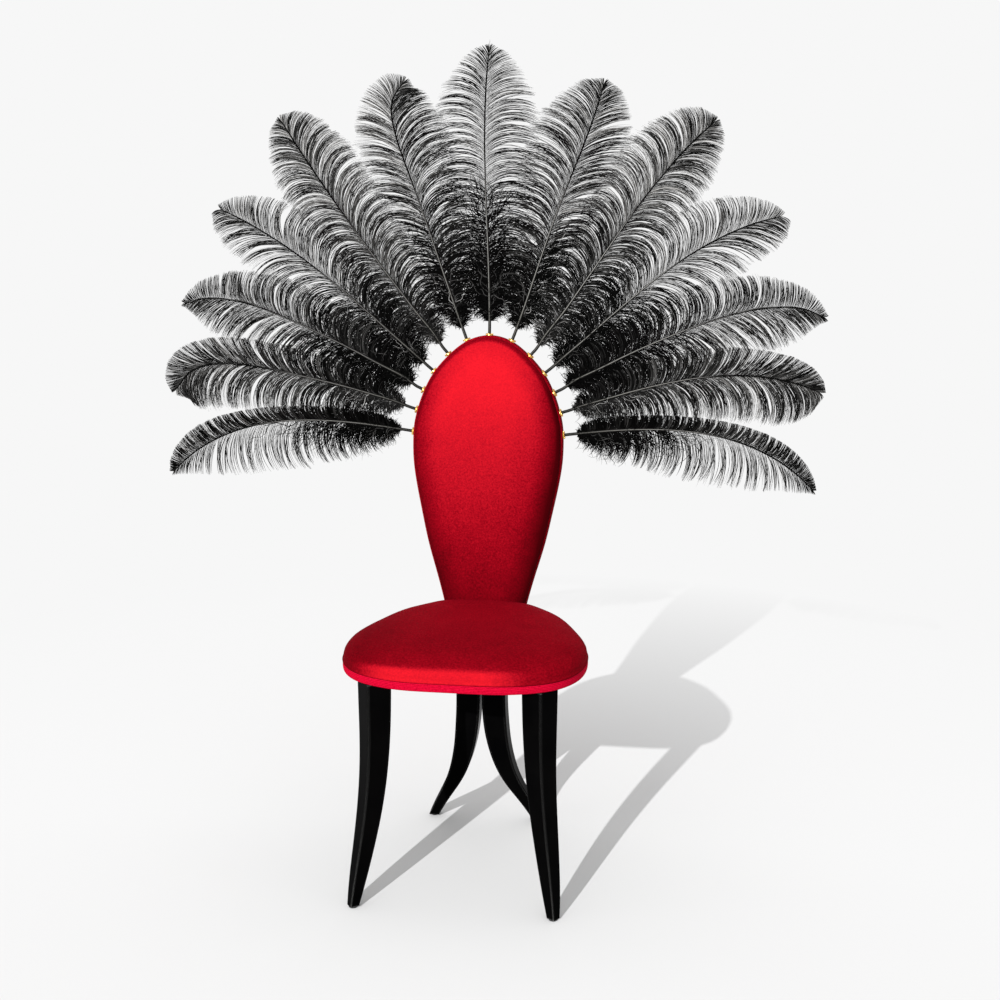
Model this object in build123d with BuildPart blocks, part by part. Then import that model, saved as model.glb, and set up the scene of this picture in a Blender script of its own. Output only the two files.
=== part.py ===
"""Upholstered side chair whose teardrop back carries a fan of thirteen ostrich plumes.

Millimetres, +Z up, the sitter faces -Y.  The origin is on the floor, under the middle of the overall box.
Four lacquered sabre legs bolt to a round plywood seat with a crowned cushion.  The back is a plywood
teardrop, padded on both faces, let into the rear of the seat and held by two bent steel straps.
Thirteen brass sockets sit round the upper edge of the back, and the quill of one plume slides into each.
"""

import os
from math import cos, hypot, radians, sin

from build123d import *

os.makedirs("parts", exist_ok=True)

# ---------------------------------------------------------------- driving dimensions
FRAME_Y = -34.6  # moves the seat and back so that the origin is under the middle of the whole box

# seat
BOARD_BOTTOM = 420.0  # underside of the plywood
BOARD_T = 18.0
BOARD_TOP = BOARD_BOTTOM + BOARD_T
BAND_BOTTOM = 419.0
BAND_T = 2.2
CROWN_Z = 477.0  # top of the cushion
SKIN = 2.0  # velvet with its lining
SEAT_CENTRE = (0.0, -5.0)

# back, measured in its own leaning plane
LEAN = 6.2  # degrees
BACK_Y = 194.0
BACK_Z = 450.0
CORE_T = 22.0
PAD_FRONT = 31.0  # from the middle of the core to the front of the velvet
PAD_REAR = 22.0

# plume sockets
SOCKET_OD = 9.6
SOCKET_BORE = 6.16
SOCKET_DEPTH = 39.0
FLANGE_D = 15.5
FLANGE_T = 2.2
QUILL_R = 3.0
QUILL_IN = 38.5

# plumes
VANE_TILT = 10.0  # each half of a vane turns this far out of the fan's plane
VANE_ROOT = 2.4
VANE_EDGE = 1.1
ROOT_IN = 0.5  # the barbs grow out of the rachis, so a half starts this far inside it

# fasteners
LEG_BOLT_D = 8.0
STRAP_T = 4.0
STRAP_W = 18.0
STRAP_X = 58.0

# ---------------------------------------------------------------- planes and outlines
rake = radians(LEAN)
BACK = Plane(
    origin=(0, BACK_Y + FRAME_Y, BACK_Z), x_dir=(1, 0, 0), z_dir=(0, -cos(rake), sin(rake))
)


def back_at(w):
    """The back's own plane, moved w towards the sitter."""
    return BACK.offset(w)


def back_point(u, v, w=0.0):
    """A point given across, up and out of the back's plane."""
    return BACK.from_local_coords(Vector(u, v, w))


SEAT_HALF = [
    (0, -223), (60, -222.5), (104, -218), (136, -208.5), (180, -184.5), (209, -148.5), (224, -108),
    (228.5, -72), (227.5, -35), (222, -5), (203, 51), (172, 120), (131, 177), (86, 213), (45, 228.5),
    (0, 232.5),
]
SEAT = SEAT_HALF + [(-x, y) for x, y in SEAT_HALF[-2:0:-1]]

BACK_HALF = [
    (72.5, -26), (80.5, 8), (97.8, 72), (114.5, 130), (128.2, 191), (140.2, 250), (146.6, 296),
    (147.6, 337), (146.2, 362), (140.2, 391.5), (127.2, 430), (107, 468), (79, 500.5), (42.5, 529),
]
BACK_RIM = BACK_HALF + [(0, 540)] + [(-u, v) for u, v in reversed(BACK_HALF)]


def seat_points(inset):
    """The seat's outline drawn in by inset, about the seat's centre."""
    k = 1 - inset / 225.0
    cx, cy = SEAT_CENTRE
    return [(cx + (x - cx) * k, cy + (y - cy) * k + FRAME_Y) for x, y in SEAT]


def rim_points(inset):
    """The back's outline drawn in by inset along its own normals; the foot stays at one level."""
    made = []
    for i, (u, v) in enumerate(BACK_RIM):
        a, b = BACK_RIM[max(i - 1, 0)], BACK_RIM[min(i + 1, len(BACK_RIM) - 1)]
        du, dv = b[0] - a[0], b[1] - a[1]
        n = hypot(du, dv)
        nu, nv = -dv / n, du / n
        if i in (0, len(BACK_RIM) - 1):
            made.append((u + (inset if u < 0 else -inset), v))
        else:
            made.append((u + nu * inset, v + nv * inset))
    return made


def seat_slab(inset, low, high):
    """A flat slab of the seat's outline."""
    with BuildPart() as slab:
        with BuildSketch(Plane.XY.offset(low)):
            with BuildLine():
                Spline(*seat_points(inset), periodic=True)
            make_face()
        extrude(amount=high - low)
    return slab.part


def seat_dome(shrink, low, drop):
    """The crowned form of the cushion, drawn in by shrink and lowered by drop."""
    levels = [(low, 3.2), (446, 0.2), (452.5, 1.2), (459, 5.5), (465, 15), (470, 34), (474, 70), (CROWN_Z, 135)]
    with BuildPart() as dome:
        for z, inset in levels:
            with BuildSketch(Plane.XY.offset(z if z == low else z - drop)):
                with BuildLine():
                    Spline(*seat_points(inset + shrink), periodic=True)
                make_face()
        loft(ruled=True)
    return dome.part


def rim_slab(inset, low, high):
    """A flat slab of the back's outline, between two distances out of its plane."""
    with BuildPart() as slab:
        with BuildSketch(back_at(low)):
            with BuildLine():
                points = rim_points(inset)
                Spline(*points)
                Line(points[-1], points[0])
            make_face()
        extrude(amount=high - low)
    return slab.part


def back_dome(shrink, low, top):
    """The padded front of the back, rolled over at its edge."""
    steps = [(low, 0.0), (low + (top - low) * 0.40, 0.8), (low + (top - low) * 0.68, 4.0),
             (low + (top - low) * 0.87, 10.0), (low + (top - low) * 0.97, 20.0), (top, 34.0)]
    with BuildPart() as dome:
        for w, inset in steps:
            with BuildSketch(back_at(w)):
                with BuildLine():
                    points = rim_points(inset + shrink)
                    Spline(*points)
                    Line(points[-1], points[0])
                make_face()
        loft(ruled=True)
    return dome.part


def save(built, name):
    part = built if isinstance(built, Compound) else built.part
    part.label = name
    export_step(part, f"parts/{name}.step")
    print(name, len(part.solids()), round(sum(s.volume for s in part.solids())))


# the space in the rear of the seat that the foot of the back stands in
with BuildPart() as foot_space:
    with BuildSketch(back_at(PAD_FRONT + 1.0)):
        with Locations((0, 20)):
            Rectangle(176, 260)
    extrude(amount=-120)

LEG_TOP = BOARD_BOTTOM - 3.0
FRONT_LEG_TOP = (150.0, -163.0)
REAR_LEG_TOP = (25.2, 145.0)
leg_tops = [
    (FRONT_LEG_TOP[0], FRONT_LEG_TOP[1] + FRAME_Y),
    (-FRONT_LEG_TOP[0], FRONT_LEG_TOP[1] + FRAME_Y),
    (REAR_LEG_TOP[0], REAR_LEG_TOP[1] + FRAME_Y),
    (-REAR_LEG_TOP[0], REAR_LEG_TOP[1] + FRAME_Y),
]
strap_board_holes = [(s * STRAP_X, y + FRAME_Y) for s in (-1, 1) for y in (112, 142)]
strap_core_holes = [(s * STRAP_X, v) for s in (-1, 1) for v in (28, 76)]

# ---------------------------------------------------------------- seat
with BuildPart() as seat_board:
    add(seat_slab(6.4, BOARD_BOTTOM, BOARD_TOP))
    add(foot_space.part, mode=Mode.SUBTRACT)
    with Locations(*[(x, y, BOARD_TOP) for x, y in leg_tops]):
        CounterBoreHole(radius=5.7, counter_bore_radius=11.2, counter_bore_depth=1.8)
    with Locations(*[(x, y, BOARD_TOP) for x, y in strap_board_holes]):
        Hole(radius=3.15)
save(seat_board, "seat_board")

with BuildPart() as seat_foam:
    add(seat_dome(SKIN + 0.4, BOARD_TOP + 0.3, SKIN + 0.6))
    add(foot_space.part, mode=Mode.SUBTRACT)
save(seat_foam, "seat_foam")

with BuildPart() as seat_cover:
    add(seat_dome(0, BOARD_TOP + 0.3, 0))
    add(seat_dome(SKIN + 0.2, BOARD_TOP + 0.25, SKIN + 0.4), mode=Mode.SUBTRACT)
    add(foot_space.part, mode=Mode.SUBTRACT)
save(seat_cover, "seat_cover")

with BuildPart() as seat_band:
    add(seat_slab(4.0, BAND_BOTTOM, BOARD_TOP))
    add(seat_slab(4.0 + BAND_T, BAND_BOTTOM - 1, BOARD_TOP + 1), mode=Mode.SUBTRACT)
    add(foot_space.part, mode=Mode.SUBTRACT)
save(seat_band, "seat_band")

with BuildPart() as seat_dust_cover:
    add(seat_slab(16.0, BOARD_BOTTOM - 1.2, BOARD_BOTTOM))
    with BuildSketch(Plane.XY.offset(BOARD_BOTTOM - 2)):
        with Locations(*leg_tops[:2]):
            Circle(33)
        with Locations((0, 175 + FRAME_Y)):
            Rectangle(160, 170)
    extrude(amount=4, mode=Mode.SUBTRACT)
save(seat_dust_cover, "seat_dust_cover")

# ---------------------------------------------------------------- legs and what holds them
with BuildPart() as leg_plates:
    with BuildSketch(Plane.XY.offset(LEG_TOP)):
        with Locations(*leg_tops[:2]):
            Circle(24)
            Circle(LEG_BOLT_D / 2 + 0.1, mode=Mode.SUBTRACT)
        with Locations(*leg_tops[2:]):
            RectangleRounded(44, 44, 4)
            Circle(LEG_BOLT_D / 2 + 0.1, mode=Mode.SUBTRACT)
    extrude(amount=3)
save(leg_plates, "leg_plates")

with BuildPart() as leg_bolts:
    with BuildSketch(Plane.XY.offset(LEG_TOP - 42)):
        with Locations(*leg_tops):
            Circle(LEG_BOLT_D / 2)
    extrude(amount=42 + 3 + 16)
    chamfer(leg_bolts.faces().filter_by(Axis.Z).edges().filter_by(GeomType.CIRCLE), 0.8)
save(leg_bolts, "leg_bolts")

with BuildPart() as leg_tee_nuts:
    with BuildSketch(Plane.XY.offset(BOARD_TOP - 1.7)):
        with Locations(*leg_tops):
            Circle(11)
    extrude(amount=1.6)
    with BuildSketch(Plane.XY.offset(BOARD_TOP - 13)):
        with Locations(*leg_tops):
            Circle(5.6)
    extrude(amount=12)
    with Locations(*[(x, y, BOARD_TOP - 0.1) for x, y in leg_tops]):
        Hole(radius=LEG_BOLT_D / 2 + 0.05)
save(leg_tee_nuts, "leg_tee_nuts")

# height, centre across, centre fore and aft, side of the square section
FRONT_LEG = [
    (LEG_TOP, 150.0, -163.0, 48.2), (360, 150.3, -163.0, 46.6), (300, 151.3, -164.0, 44.0),
    (240, 154.2, -167.6, 40.8), (180, 159.6, -175.0, 37.2), (120, 167.2, -187.6, 32.6),
    (70, 174.4, -202.2, 27.6), (35, 179.4, -213.4, 23.0), (3, 183.6, -224.4, 17.2),
]
REAR_LEG = [
    (LEG_TOP, 25.2, 145.0, 47.0), (385, 25.2, 145.0, 47.0), (355, 25.2, 145.0, 47.0), (325, 25.2, 145.0, 47.0),
    (295, 25.3, 145.1, 47.0), (265, 25.8, 145.5, 46.8), (230, 28.0, 147.0, 46.0),
    (190, 32.8, 150.6, 43.2), (150, 41.2, 156.2, 39.4), (112, 53.6, 164.2, 35.0), (78, 69.6, 174.6, 30.4),
    (50, 84.6, 184.6, 26.6), (25, 97.4, 192.6, 23.6), (3, 107.4, 199.4, 20.6),
]


def leg(stations, side, turn):
    """A sabre leg lofted through square sections with eased corners; turn is the section's own angle."""
    with BuildPart() as made:
        for z, x, y, w in stations:
            a = radians(turn * side)
            with BuildSketch(
                Plane(origin=(side * x, y + FRAME_Y, z), x_dir=(cos(a), sin(a), 0), z_dir=(0, 0, 1))
            ):
                RectangleRounded(w, w, w * 0.085)
        loft()
        _, x, y, _ = stations[0]
        with Locations((side * x, y + FRAME_Y, LEG_TOP)):
            Hole(radius=LEG_BOLT_D / 2 + 0.1, depth=43)
        _, x, y, _ = stations[-1]
        with Locations(Location((side * x, y + FRAME_Y, 3.0), (180, 0, 0))):
            Hole(radius=1.3, depth=14)
    return made


for name, stations, side, turn in [
    ("front_leg_right", FRONT_LEG, 1, 45 + 10),
    ("front_leg_left", FRONT_LEG, -1, 45 + 10),
    ("rear_leg_right", REAR_LEG, 1, 0),
    ("rear_leg_left", REAR_LEG, -1, 0),
]:
    save(leg(stations, side, turn), name)

foot_points = [(s * st[-1][1], st[-1][2] + FRAME_Y) for st in (FRONT_LEG, REAR_LEG) for s in (1, -1)]
with BuildPart() as leg_glides:
    with BuildSketch(Plane.XY):
        with Locations(*foot_points):
            Circle(8)
    extrude(amount=3)
    chamfer(leg_glides.edges().filter_by(GeomType.CIRCLE).group_by(Axis.Z)[0], 0.5)
    with BuildSketch(Plane.XY.offset(3)):
        with Locations(*foot_points):
            Circle(1.25)
    extrude(amount=12)
save(leg_glides, "leg_glides")

# ---------------------------------------------------------------- plume sockets and their directions
# across and up the back's plane, then the direction of the quill from level, in degrees
SOCKETS = {"c": (0, 540.0, 90.0)}
for n, (u, v, a) in enumerate(
    [(44.0, 529.4, 69.5), (79.8, 501.2, 50.2), (108.0, 467.4, 39.5), (128.3, 430.4, 28.5),
     (141.3, 391.9, 18.0), (147.6, 349.0, 7.5)], start=1
):
    SOCKETS[f"r{n}"] = (u, v, a)
    SOCKETS[f"l{n}"] = (-u, v, 180 - a)


def socket_plane(key, along=0.0):
    """A plane square to the quill, along millimetres out of the mouth of its socket."""
    u, v, a = SOCKETS[key]
    d = BACK.x_dir * cos(radians(a)) + BACK.y_dir * sin(radians(a))
    return Plane(origin=back_point(u, v) + d * along, x_dir=BACK.z_dir, z_dir=d)


with BuildPart() as socket_bores:
    for key in SOCKETS:
        with BuildSketch(socket_plane(key, -42.6)):
            Circle(SOCKET_OD / 2 + 0.1)
        extrude(amount=60)

# ---------------------------------------------------------------- back
with BuildPart() as back_core:
    add(rim_slab(2.6, -CORE_T / 2, CORE_T / 2))
    add(socket_bores.part, mode=Mode.SUBTRACT)
    with Locations(*[back_at(-CORE_T / 2).location * Location((u, v, 0), (180, 0, 0)) for u, v in strap_core_holes]):
        Hole(radius=3.1, depth=15)
save(back_core, "back_core")

with BuildPart() as back_foam:
    add(back_dome(SKIN + 0.6, CORE_T / 2 + 0.2, PAD_FRONT - SKIN - 0.2))
save(back_foam, "back_foam")

with BuildPart() as back_cover:
    add(back_dome(0, CORE_T / 2 + 0.2, PAD_FRONT))
    add(back_dome(SKIN + 0.3, CORE_T / 2, PAD_FRONT - SKIN), mode=Mode.SUBTRACT)
save(back_cover, "back_cover")

with BuildPart() as back_wadding:
    add(rim_slab(2.6, -PAD_REAR + 2.2, -CORE_T / 2 - 0.2))
    with BuildSketch(back_at(-PAD_REAR)):
        with Locations((STRAP_X, 36), (-STRAP_X, 36)):
            Rectangle(STRAP_W + 3, 140)
    extrude(amount=16, mode=Mode.SUBTRACT)
save(back_wadding, "back_wadding")

with BuildPart() as back_rear_cover:
    add(rim_slab(0, -PAD_REAR, -PAD_REAR + SKIN))
    fillet(back_rear_cover.faces().sort_by(Axis.Y)[-1].edges().sort_by(SortBy.LENGTH)[-1], 1.2)
save(back_rear_cover, "back_rear_cover")

with BuildPart() as back_border:
    add(rim_slab(0, -PAD_REAR + SKIN + 0.2, CORE_T / 2))
    add(rim_slab(SKIN + 0.2, -PAD_REAR, CORE_T / 2 + 2), mode=Mode.SUBTRACT)
    add(socket_bores.part, mode=Mode.SUBTRACT)
save(back_border, "back_border")


def strap_profile(v, w):
    """Fore-and-aft and height of a point in the back's plane."""
    p = back_point(0, v, w)
    return (p.Y, p.Z)


rear_w, front_w = -CORE_T / 2 - 0.2 - STRAP_T, -CORE_T / 2 - 0.2
low_z, high_z = BOARD_BOTTOM - STRAP_T, BOARD_BOTTOM


def at_height(w, z):
    """Where a line lying w out of the back's plane crosses a height."""
    v = (z - BACK_Z - w * sin(rake)) / cos(rake)
    return strap_profile(v, w)


with BuildPart() as back_straps:
    for s in (-1, 1):
        with BuildSketch(Plane.YZ.offset(s * STRAP_X - STRAP_W / 2)):
            with BuildLine():
                Polyline(
                    (92 + FRAME_Y, low_z), at_height(rear_w, low_z), strap_profile(100, rear_w),
                    strap_profile(100, front_w), at_height(front_w, high_z), (92 + FRAME_Y, high_z),
                    close=True,
                )
            make_face()
        extrude(amount=STRAP_W)
    fillet(back_straps.edges().filter_by(Axis.X).group_by(Axis.Z)[0].sort_by(Axis.Y)[-2:], 3.5)
    with Locations(*[(x, y, high_z) for x, y in strap_board_holes]):
        Hole(radius=3.2, depth=8)
    with Locations(*[back_at(front_w).location * Location((u, v, 0)) for u, v in strap_core_holes]):
        Hole(radius=3.2, depth=8)
save(back_straps, "back_straps")

with BuildPart() as strap_screws:
    with BuildSketch(Plane.XY.offset(low_z - 3.4)):
        with Locations(*strap_board_holes):
            Circle(5.4)
    extrude(amount=3.4)
    with BuildSketch(Plane.XY.offset(low_z)):
        with Locations(*strap_board_holes):
            Circle(3)
    extrude(amount=4 + 15)
    with BuildSketch(back_at(rear_w - 3.2)):
        with Locations(*strap_core_holes):
            Circle(5.4)
    extrude(amount=3.2)
    with BuildSketch(back_at(rear_w)):
        with Locations(*strap_core_holes):
            Circle(3)
    extrude(amount=4 + 14)
save(strap_screws, "strap_screws")

with BuildPart() as quill_sockets:
    for key in SOCKETS:
        with BuildSketch(socket_plane(key, -SOCKET_DEPTH - 2.4)):
            Circle(SOCKET_OD / 2)
        extrude(amount=SOCKET_DEPTH + 2.4 + 0.7 + FLANGE_T)
        with BuildSketch(socket_plane(key, 0.7)):
            Circle(FLANGE_D / 2)
        extrude(amount=FLANGE_T, taper=12)
    for key in SOCKETS:
        with BuildSketch(socket_plane(key, -SOCKET_DEPTH)):
            Circle(SOCKET_BORE / 2)
        extrude(amount=SOCKET_DEPTH + 6, mode=Mode.SUBTRACT)
save(quill_sockets, "quill_sockets")

# ---------------------------------------------------------------- plumes
# the line of each rachis across and up the back's plane, from just outside its socket to its tip
RACHIS = {
    "c": [(-0.2, 577.8), (-1.5, 626.6), (-4.3, 691.6), (-8.4, 767.4), (-12.0, 843.2), (-13.8, 919.1), (-12.6, 995.0), (-9.7, 1043.7), (-6.0, 1081.4)],
    "l1": [(-57.3, 564.8), (-73.5, 609.0), (-94.9, 668.0), (-119.7, 736.9), (-144.8, 805.7), (-170.6, 874.3), (-192.1, 944.2), (-191.1, 990.9), (-170.7, 1020.4)],
    "r1": [(56.9, 564.3), (71.9, 608.2), (90.9, 667.0), (113.3, 735.5), (137.7, 803.4), (164.0, 870.5), (189.3, 938.0), (203.7, 982.1), (213.1, 1016.9)],
    "l2": [(-104.4, 533.9), (-136.3, 572.6), (-178.3, 624.4), (-226.6, 685.5), (-273.9, 747.4), (-319.9, 810.2), (-364.6, 874.0), (-392.5, 915.6), (-413.7, 948.3)],
    "r2": [(104.4, 534.4), (134.9, 574.7), (173.7, 629.8), (217.6, 695.0), (261.8, 760.0), (308.2, 823.4), (358.5, 883.8), (393.5, 920.2), (422.5, 946.8)],
    "l3": [(-137.0, 492.1), (-173.3, 522.7), (-221.4, 563.9), (-278.0, 611.4), (-335.9, 657.4), (-395.9, 700.5), (-458.7, 739.5), (-500.6, 761.8), (-534.2, 777.3)],
    "r3": [(137.8, 493.0), (174.6, 525.4), (223.1, 569.3), (280.1, 620.0), (339.3, 668.2), (402.2, 711.3), (469.8, 746.6), (515.7, 764.0), (552.5, 774.1)],
    "l4": [(-160.5, 450.3), (-202.0, 472.0), (-257.8, 499.9), (-323.6, 531.0), (-390.2, 560.4), (-458.2, 586.4), (-529.2, 602.1), (-575.9, 602.0), (-611.3, 593.6)],
    "r4": [(162.4, 451.4), (206.2, 474.8), (265.0, 505.0), (334.8, 537.9), (406.1, 567.5), (479.3, 591.6), (555.4, 603.9), (604.7, 600.6), (640.4, 586.5)],
    "l5": [(-176.4, 404.0), (-220.9, 417.0), (-280.9, 432.5), (-351.4, 448.2), (-422.3, 462.1), (-493.6, 473.4), (-565.4, 470.8), (-607.0, 451.1), (-627.9, 422.1)],
    "r5": [(175.9, 404.0), (219.5, 418.2), (277.8, 436.3), (346.7, 454.5), (416.7, 467.6), (487.8, 472.8), (558.7, 467.2), (603.3, 456.8), (636.9, 444.9)],
    "l6": [(-184.4, 353.7), (-230.9, 359.1), (-293.0, 364.2), (-365.7, 365.4), (-438.2, 358.7), (-508.6, 341.0), (-574.0, 309.4), (-611.4, 281.4), (-637.2, 255.8)],
    "r6": [(183.9, 353.6), (229.7, 358.8), (291.0, 363.6), (362.7, 364.3), (434.1, 357.3), (503.5, 339.5), (568.1, 308.7), (605.4, 281.7), (631.5, 257.1)],
}
# how far each plume's tip nods towards the sitter
NOD = {"c": 16, "l1": 20, "r1": 14, "l2": 12, "r2": 18, "l3": 20, "r3": 13, "l4": 13, "r4": 19, "l5": 18, "r5": 14, "l6": 14, "r6": 18}
# share of the length, then half widths towards the top of the fan and away from it
VANE = [
    (0.05, 14, 14), (0.07, 30, 30), (0.11, 40, 42), (0.17, 48, 52), (0.25, 54, 60), (0.35, 61, 66), (0.45, 68, 72),
    (0.55, 74, 76), (0.65, 77, 80), (0.75, 78, 80), (0.83, 75, 77), (0.87, 71, 72),
    (0.90, 66, 67), (0.93, 57, 58), (0.96, 44, 45), (0.985, 30, 30), (1.0, 19, 19),
]
RACHIS_R = [(0.0, 3.0), (0.10, 2.85), (0.25, 2.4), (0.45, 1.85), (0.65, 1.3), (0.82, 0.9), (0.93, 0.65), (1.0, 0.5)]


def interpolate(table, t, column=1):
    for a, b in zip(table, table[1:]):
        if t <= b[0]:
            k = (t - a[0]) / (b[0] - a[0])
            return a[column] + (b[column] - a[column]) * max(k, 0.0)
    return table[-1][column]


def rachis_edge(key):
    """The curve of the rachis, straight out of its socket."""
    u, v, a = SOCKETS[key]
    du, dv = cos(radians(a)), sin(radians(a))
    flat = [(u + du * s, v + dv * s) for s in (10, 22)] + RACHIS[key]
    run, spans = [0.0], list(zip(flat, flat[1:]))
    for p, q in spans:
        run.append(run[-1] + hypot(q[0] - p[0], q[1] - p[1]))
    points = [back_point(p[0], p[1], NOD[key] * max((s - 40) / (run[-1] - 40), 0) ** 2) for p, s in zip(flat, run)]
    d = BACK.x_dir * du + BACK.y_dir * dv
    return Edge.make_spline(points, tangents=[d, (points[-1] - points[-2]).normalized()])


def quill_node(key):
    edge = rachis_edge(key)
    with BuildPart() as quill:
        with BuildSketch(socket_plane(key, -QUILL_IN)):
            Circle(QUILL_R)
        extrude(amount=QUILL_IN + 10)
        chamfer(quill.edges().filter_by(GeomType.CIRCLE).sort_by(lambda e: (e.center() - back_point(0, 300)).length)[0], 1.2)
    with BuildPart() as shaft:
        for t in [0.0, 0.025] + [row[0] for row in VANE]:
            with BuildSketch(Plane(origin=edge @ t, x_dir=BACK.z_dir.cross(edge % t), z_dir=edge % t)):
                Circle(interpolate(RACHIS_R, t))
        loft()
    with BuildPart() as both:
        add(quill.part)
        add(shaft.part)
    return both


def vane_node(key):
    """Two thin halves, one each side of the rachis.  The half nearer the top of the fan turns towards the
    sitter and the other away, so that neighbouring plumes lie over each other like tiles."""
    edge = rachis_edge(key)
    upward = -1 if key[0] == "l" else 1
    halves = []
    for half in (-1, 1):
        inner = half == -1
        with BuildPart() as blade:
            for t, top_w, low_w in VANE:
                tangent = edge % t
                across = tangent.cross(BACK.z_dir).normalized()  # to the right of the rachis as it runs outwards
                out = across * (half * upward)
                tilt = VANE_TILT if inner and key != "c" else -VANE_TILT
                face = tangent.cross(out).normalized()
                if face.dot(BACK.z_dir) < 0:
                    face = face * -1
                x_dir = out * cos(radians(tilt)) + face * sin(radians(tilt))
                root = max(interpolate(RACHIS_R, t) - ROOT_IN, 0.9) + 10 * max(t - 0.8, 0)
                reach = top_w if inner else low_w
                before, after = max(t - 0.05, 0.0), min(t + 0.05, 1.0)
                bend = ((edge % after) - (edge % before)).dot(out) / ((after - before) * edge.length)
                if bend > 0:  # the inside of a hooked tip is shorter
                    reach = min(reach, max(0.7 / bend, 12))
                with BuildSketch(Plane(origin=edge @ t, x_dir=x_dir, z_dir=tangent)):
                    with BuildLine():
                        Polyline(
                            (root, -VANE_ROOT / 2), (reach, -VANE_EDGE / 2), (reach, VANE_EDGE / 2),
                            (root, VANE_ROOT / 2), close=True,
                        )
                    make_face()
            loft()
        halves.append(blade.part)
    return Compound(children=halves)


for key in ["c"] + [f"{s}{n}" for n in range(1, 7) for s in "lr"]:
    name = {"c": "centre", "l": f"left_{key[1:]}", "r": f"right_{key[1:]}"}[key[0]]
    save(quill_node(key), f"plume_{name}_quill")
    save(vane_node(key), f"plume_{name}_vane")
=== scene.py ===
import math

import bpy
import bmesh
import numpy as np
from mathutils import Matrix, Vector
from mathutils.bvhtree import BVHTree


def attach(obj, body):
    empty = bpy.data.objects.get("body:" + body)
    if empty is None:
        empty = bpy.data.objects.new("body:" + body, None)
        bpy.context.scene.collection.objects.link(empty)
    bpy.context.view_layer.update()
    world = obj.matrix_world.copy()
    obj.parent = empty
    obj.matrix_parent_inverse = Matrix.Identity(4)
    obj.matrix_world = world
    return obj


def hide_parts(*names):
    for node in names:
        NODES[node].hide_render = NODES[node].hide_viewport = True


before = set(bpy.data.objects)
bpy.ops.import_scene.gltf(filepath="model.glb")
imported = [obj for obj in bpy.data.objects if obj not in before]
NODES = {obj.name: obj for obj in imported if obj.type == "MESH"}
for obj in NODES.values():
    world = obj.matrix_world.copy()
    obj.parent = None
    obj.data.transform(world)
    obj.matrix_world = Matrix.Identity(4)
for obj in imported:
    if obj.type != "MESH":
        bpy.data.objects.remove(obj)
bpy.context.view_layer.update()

# ---------------------------------------------------------------- camera
camera_data = bpy.data.cameras.new("camera")
camera = bpy.data.objects.new("camera", camera_data)
bpy.context.scene.collection.objects.link(camera)
camera.location = (0.469, -2.9966, 1.432)
camera.rotation_euler = (math.radians(90 - 13.42), 0, math.radians(7.94))
camera_data.sensor_width = 36
camera_data.lens = 60.23
camera_data.clip_end = 200
bpy.context.scene.camera = camera

# ---------------------------------------------------------------- sizes repeated from the CAD source, in millimetres
FRAME_Y = -34.6
RAKE = math.radians(6.2)
BACK_ORIGIN = np.array([0.0, 194 + FRAME_Y, 450.0])
BACK_U = np.array([1.0, 0.0, 0.0])
BACK_V = np.array([0.0, math.sin(RAKE), math.cos(RAKE)])
BACK_W = np.array([0.0, -math.cos(RAKE), math.sin(RAKE)])
BOARD_TOP, BAND_BOTTOM, BOARD_BOTTOM = 438.0, 419.0, 420.0
SEAT_HALF = [
    (0, -223), (60, -222.5), (104, -218), (136, -208.5), (180, -184.5), (209, -148.5), (224, -108), (228.5, -72),
    (227.5, -35), (222, -5), (203, 51), (172, 120), (131, 177), (86, 213), (45, 228.5), (0, 232.5),
]
BACK_HALF = [
    (72.5, -26), (80.5, 8), (97.8, 72), (114.5, 130), (128.2, 191), (140.2, 250), (146.6, 296), (147.6, 337),
    (146.2, 362), (140.2, 391.5), (127.2, 430), (107, 468), (79, 500.5), (42.5, 529), (0, 540),
]
SOCKETS = {"c": (0, 540.0, 90.0)}
for _n, (_u, _v, _a) in enumerate(
    [(44.0, 529.4, 69.5), (79.8, 501.2, 50.2), (108.0, 467.4, 39.5), (128.3, 430.4, 28.5),
     (141.3, 391.9, 18.0), (147.6, 349.0, 7.5)], start=1
):
    SOCKETS[f"r{_n}"] = (_u, _v, _a)
    SOCKETS[f"l{_n}"] = (-_u, _v, 180 - _a)
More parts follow.
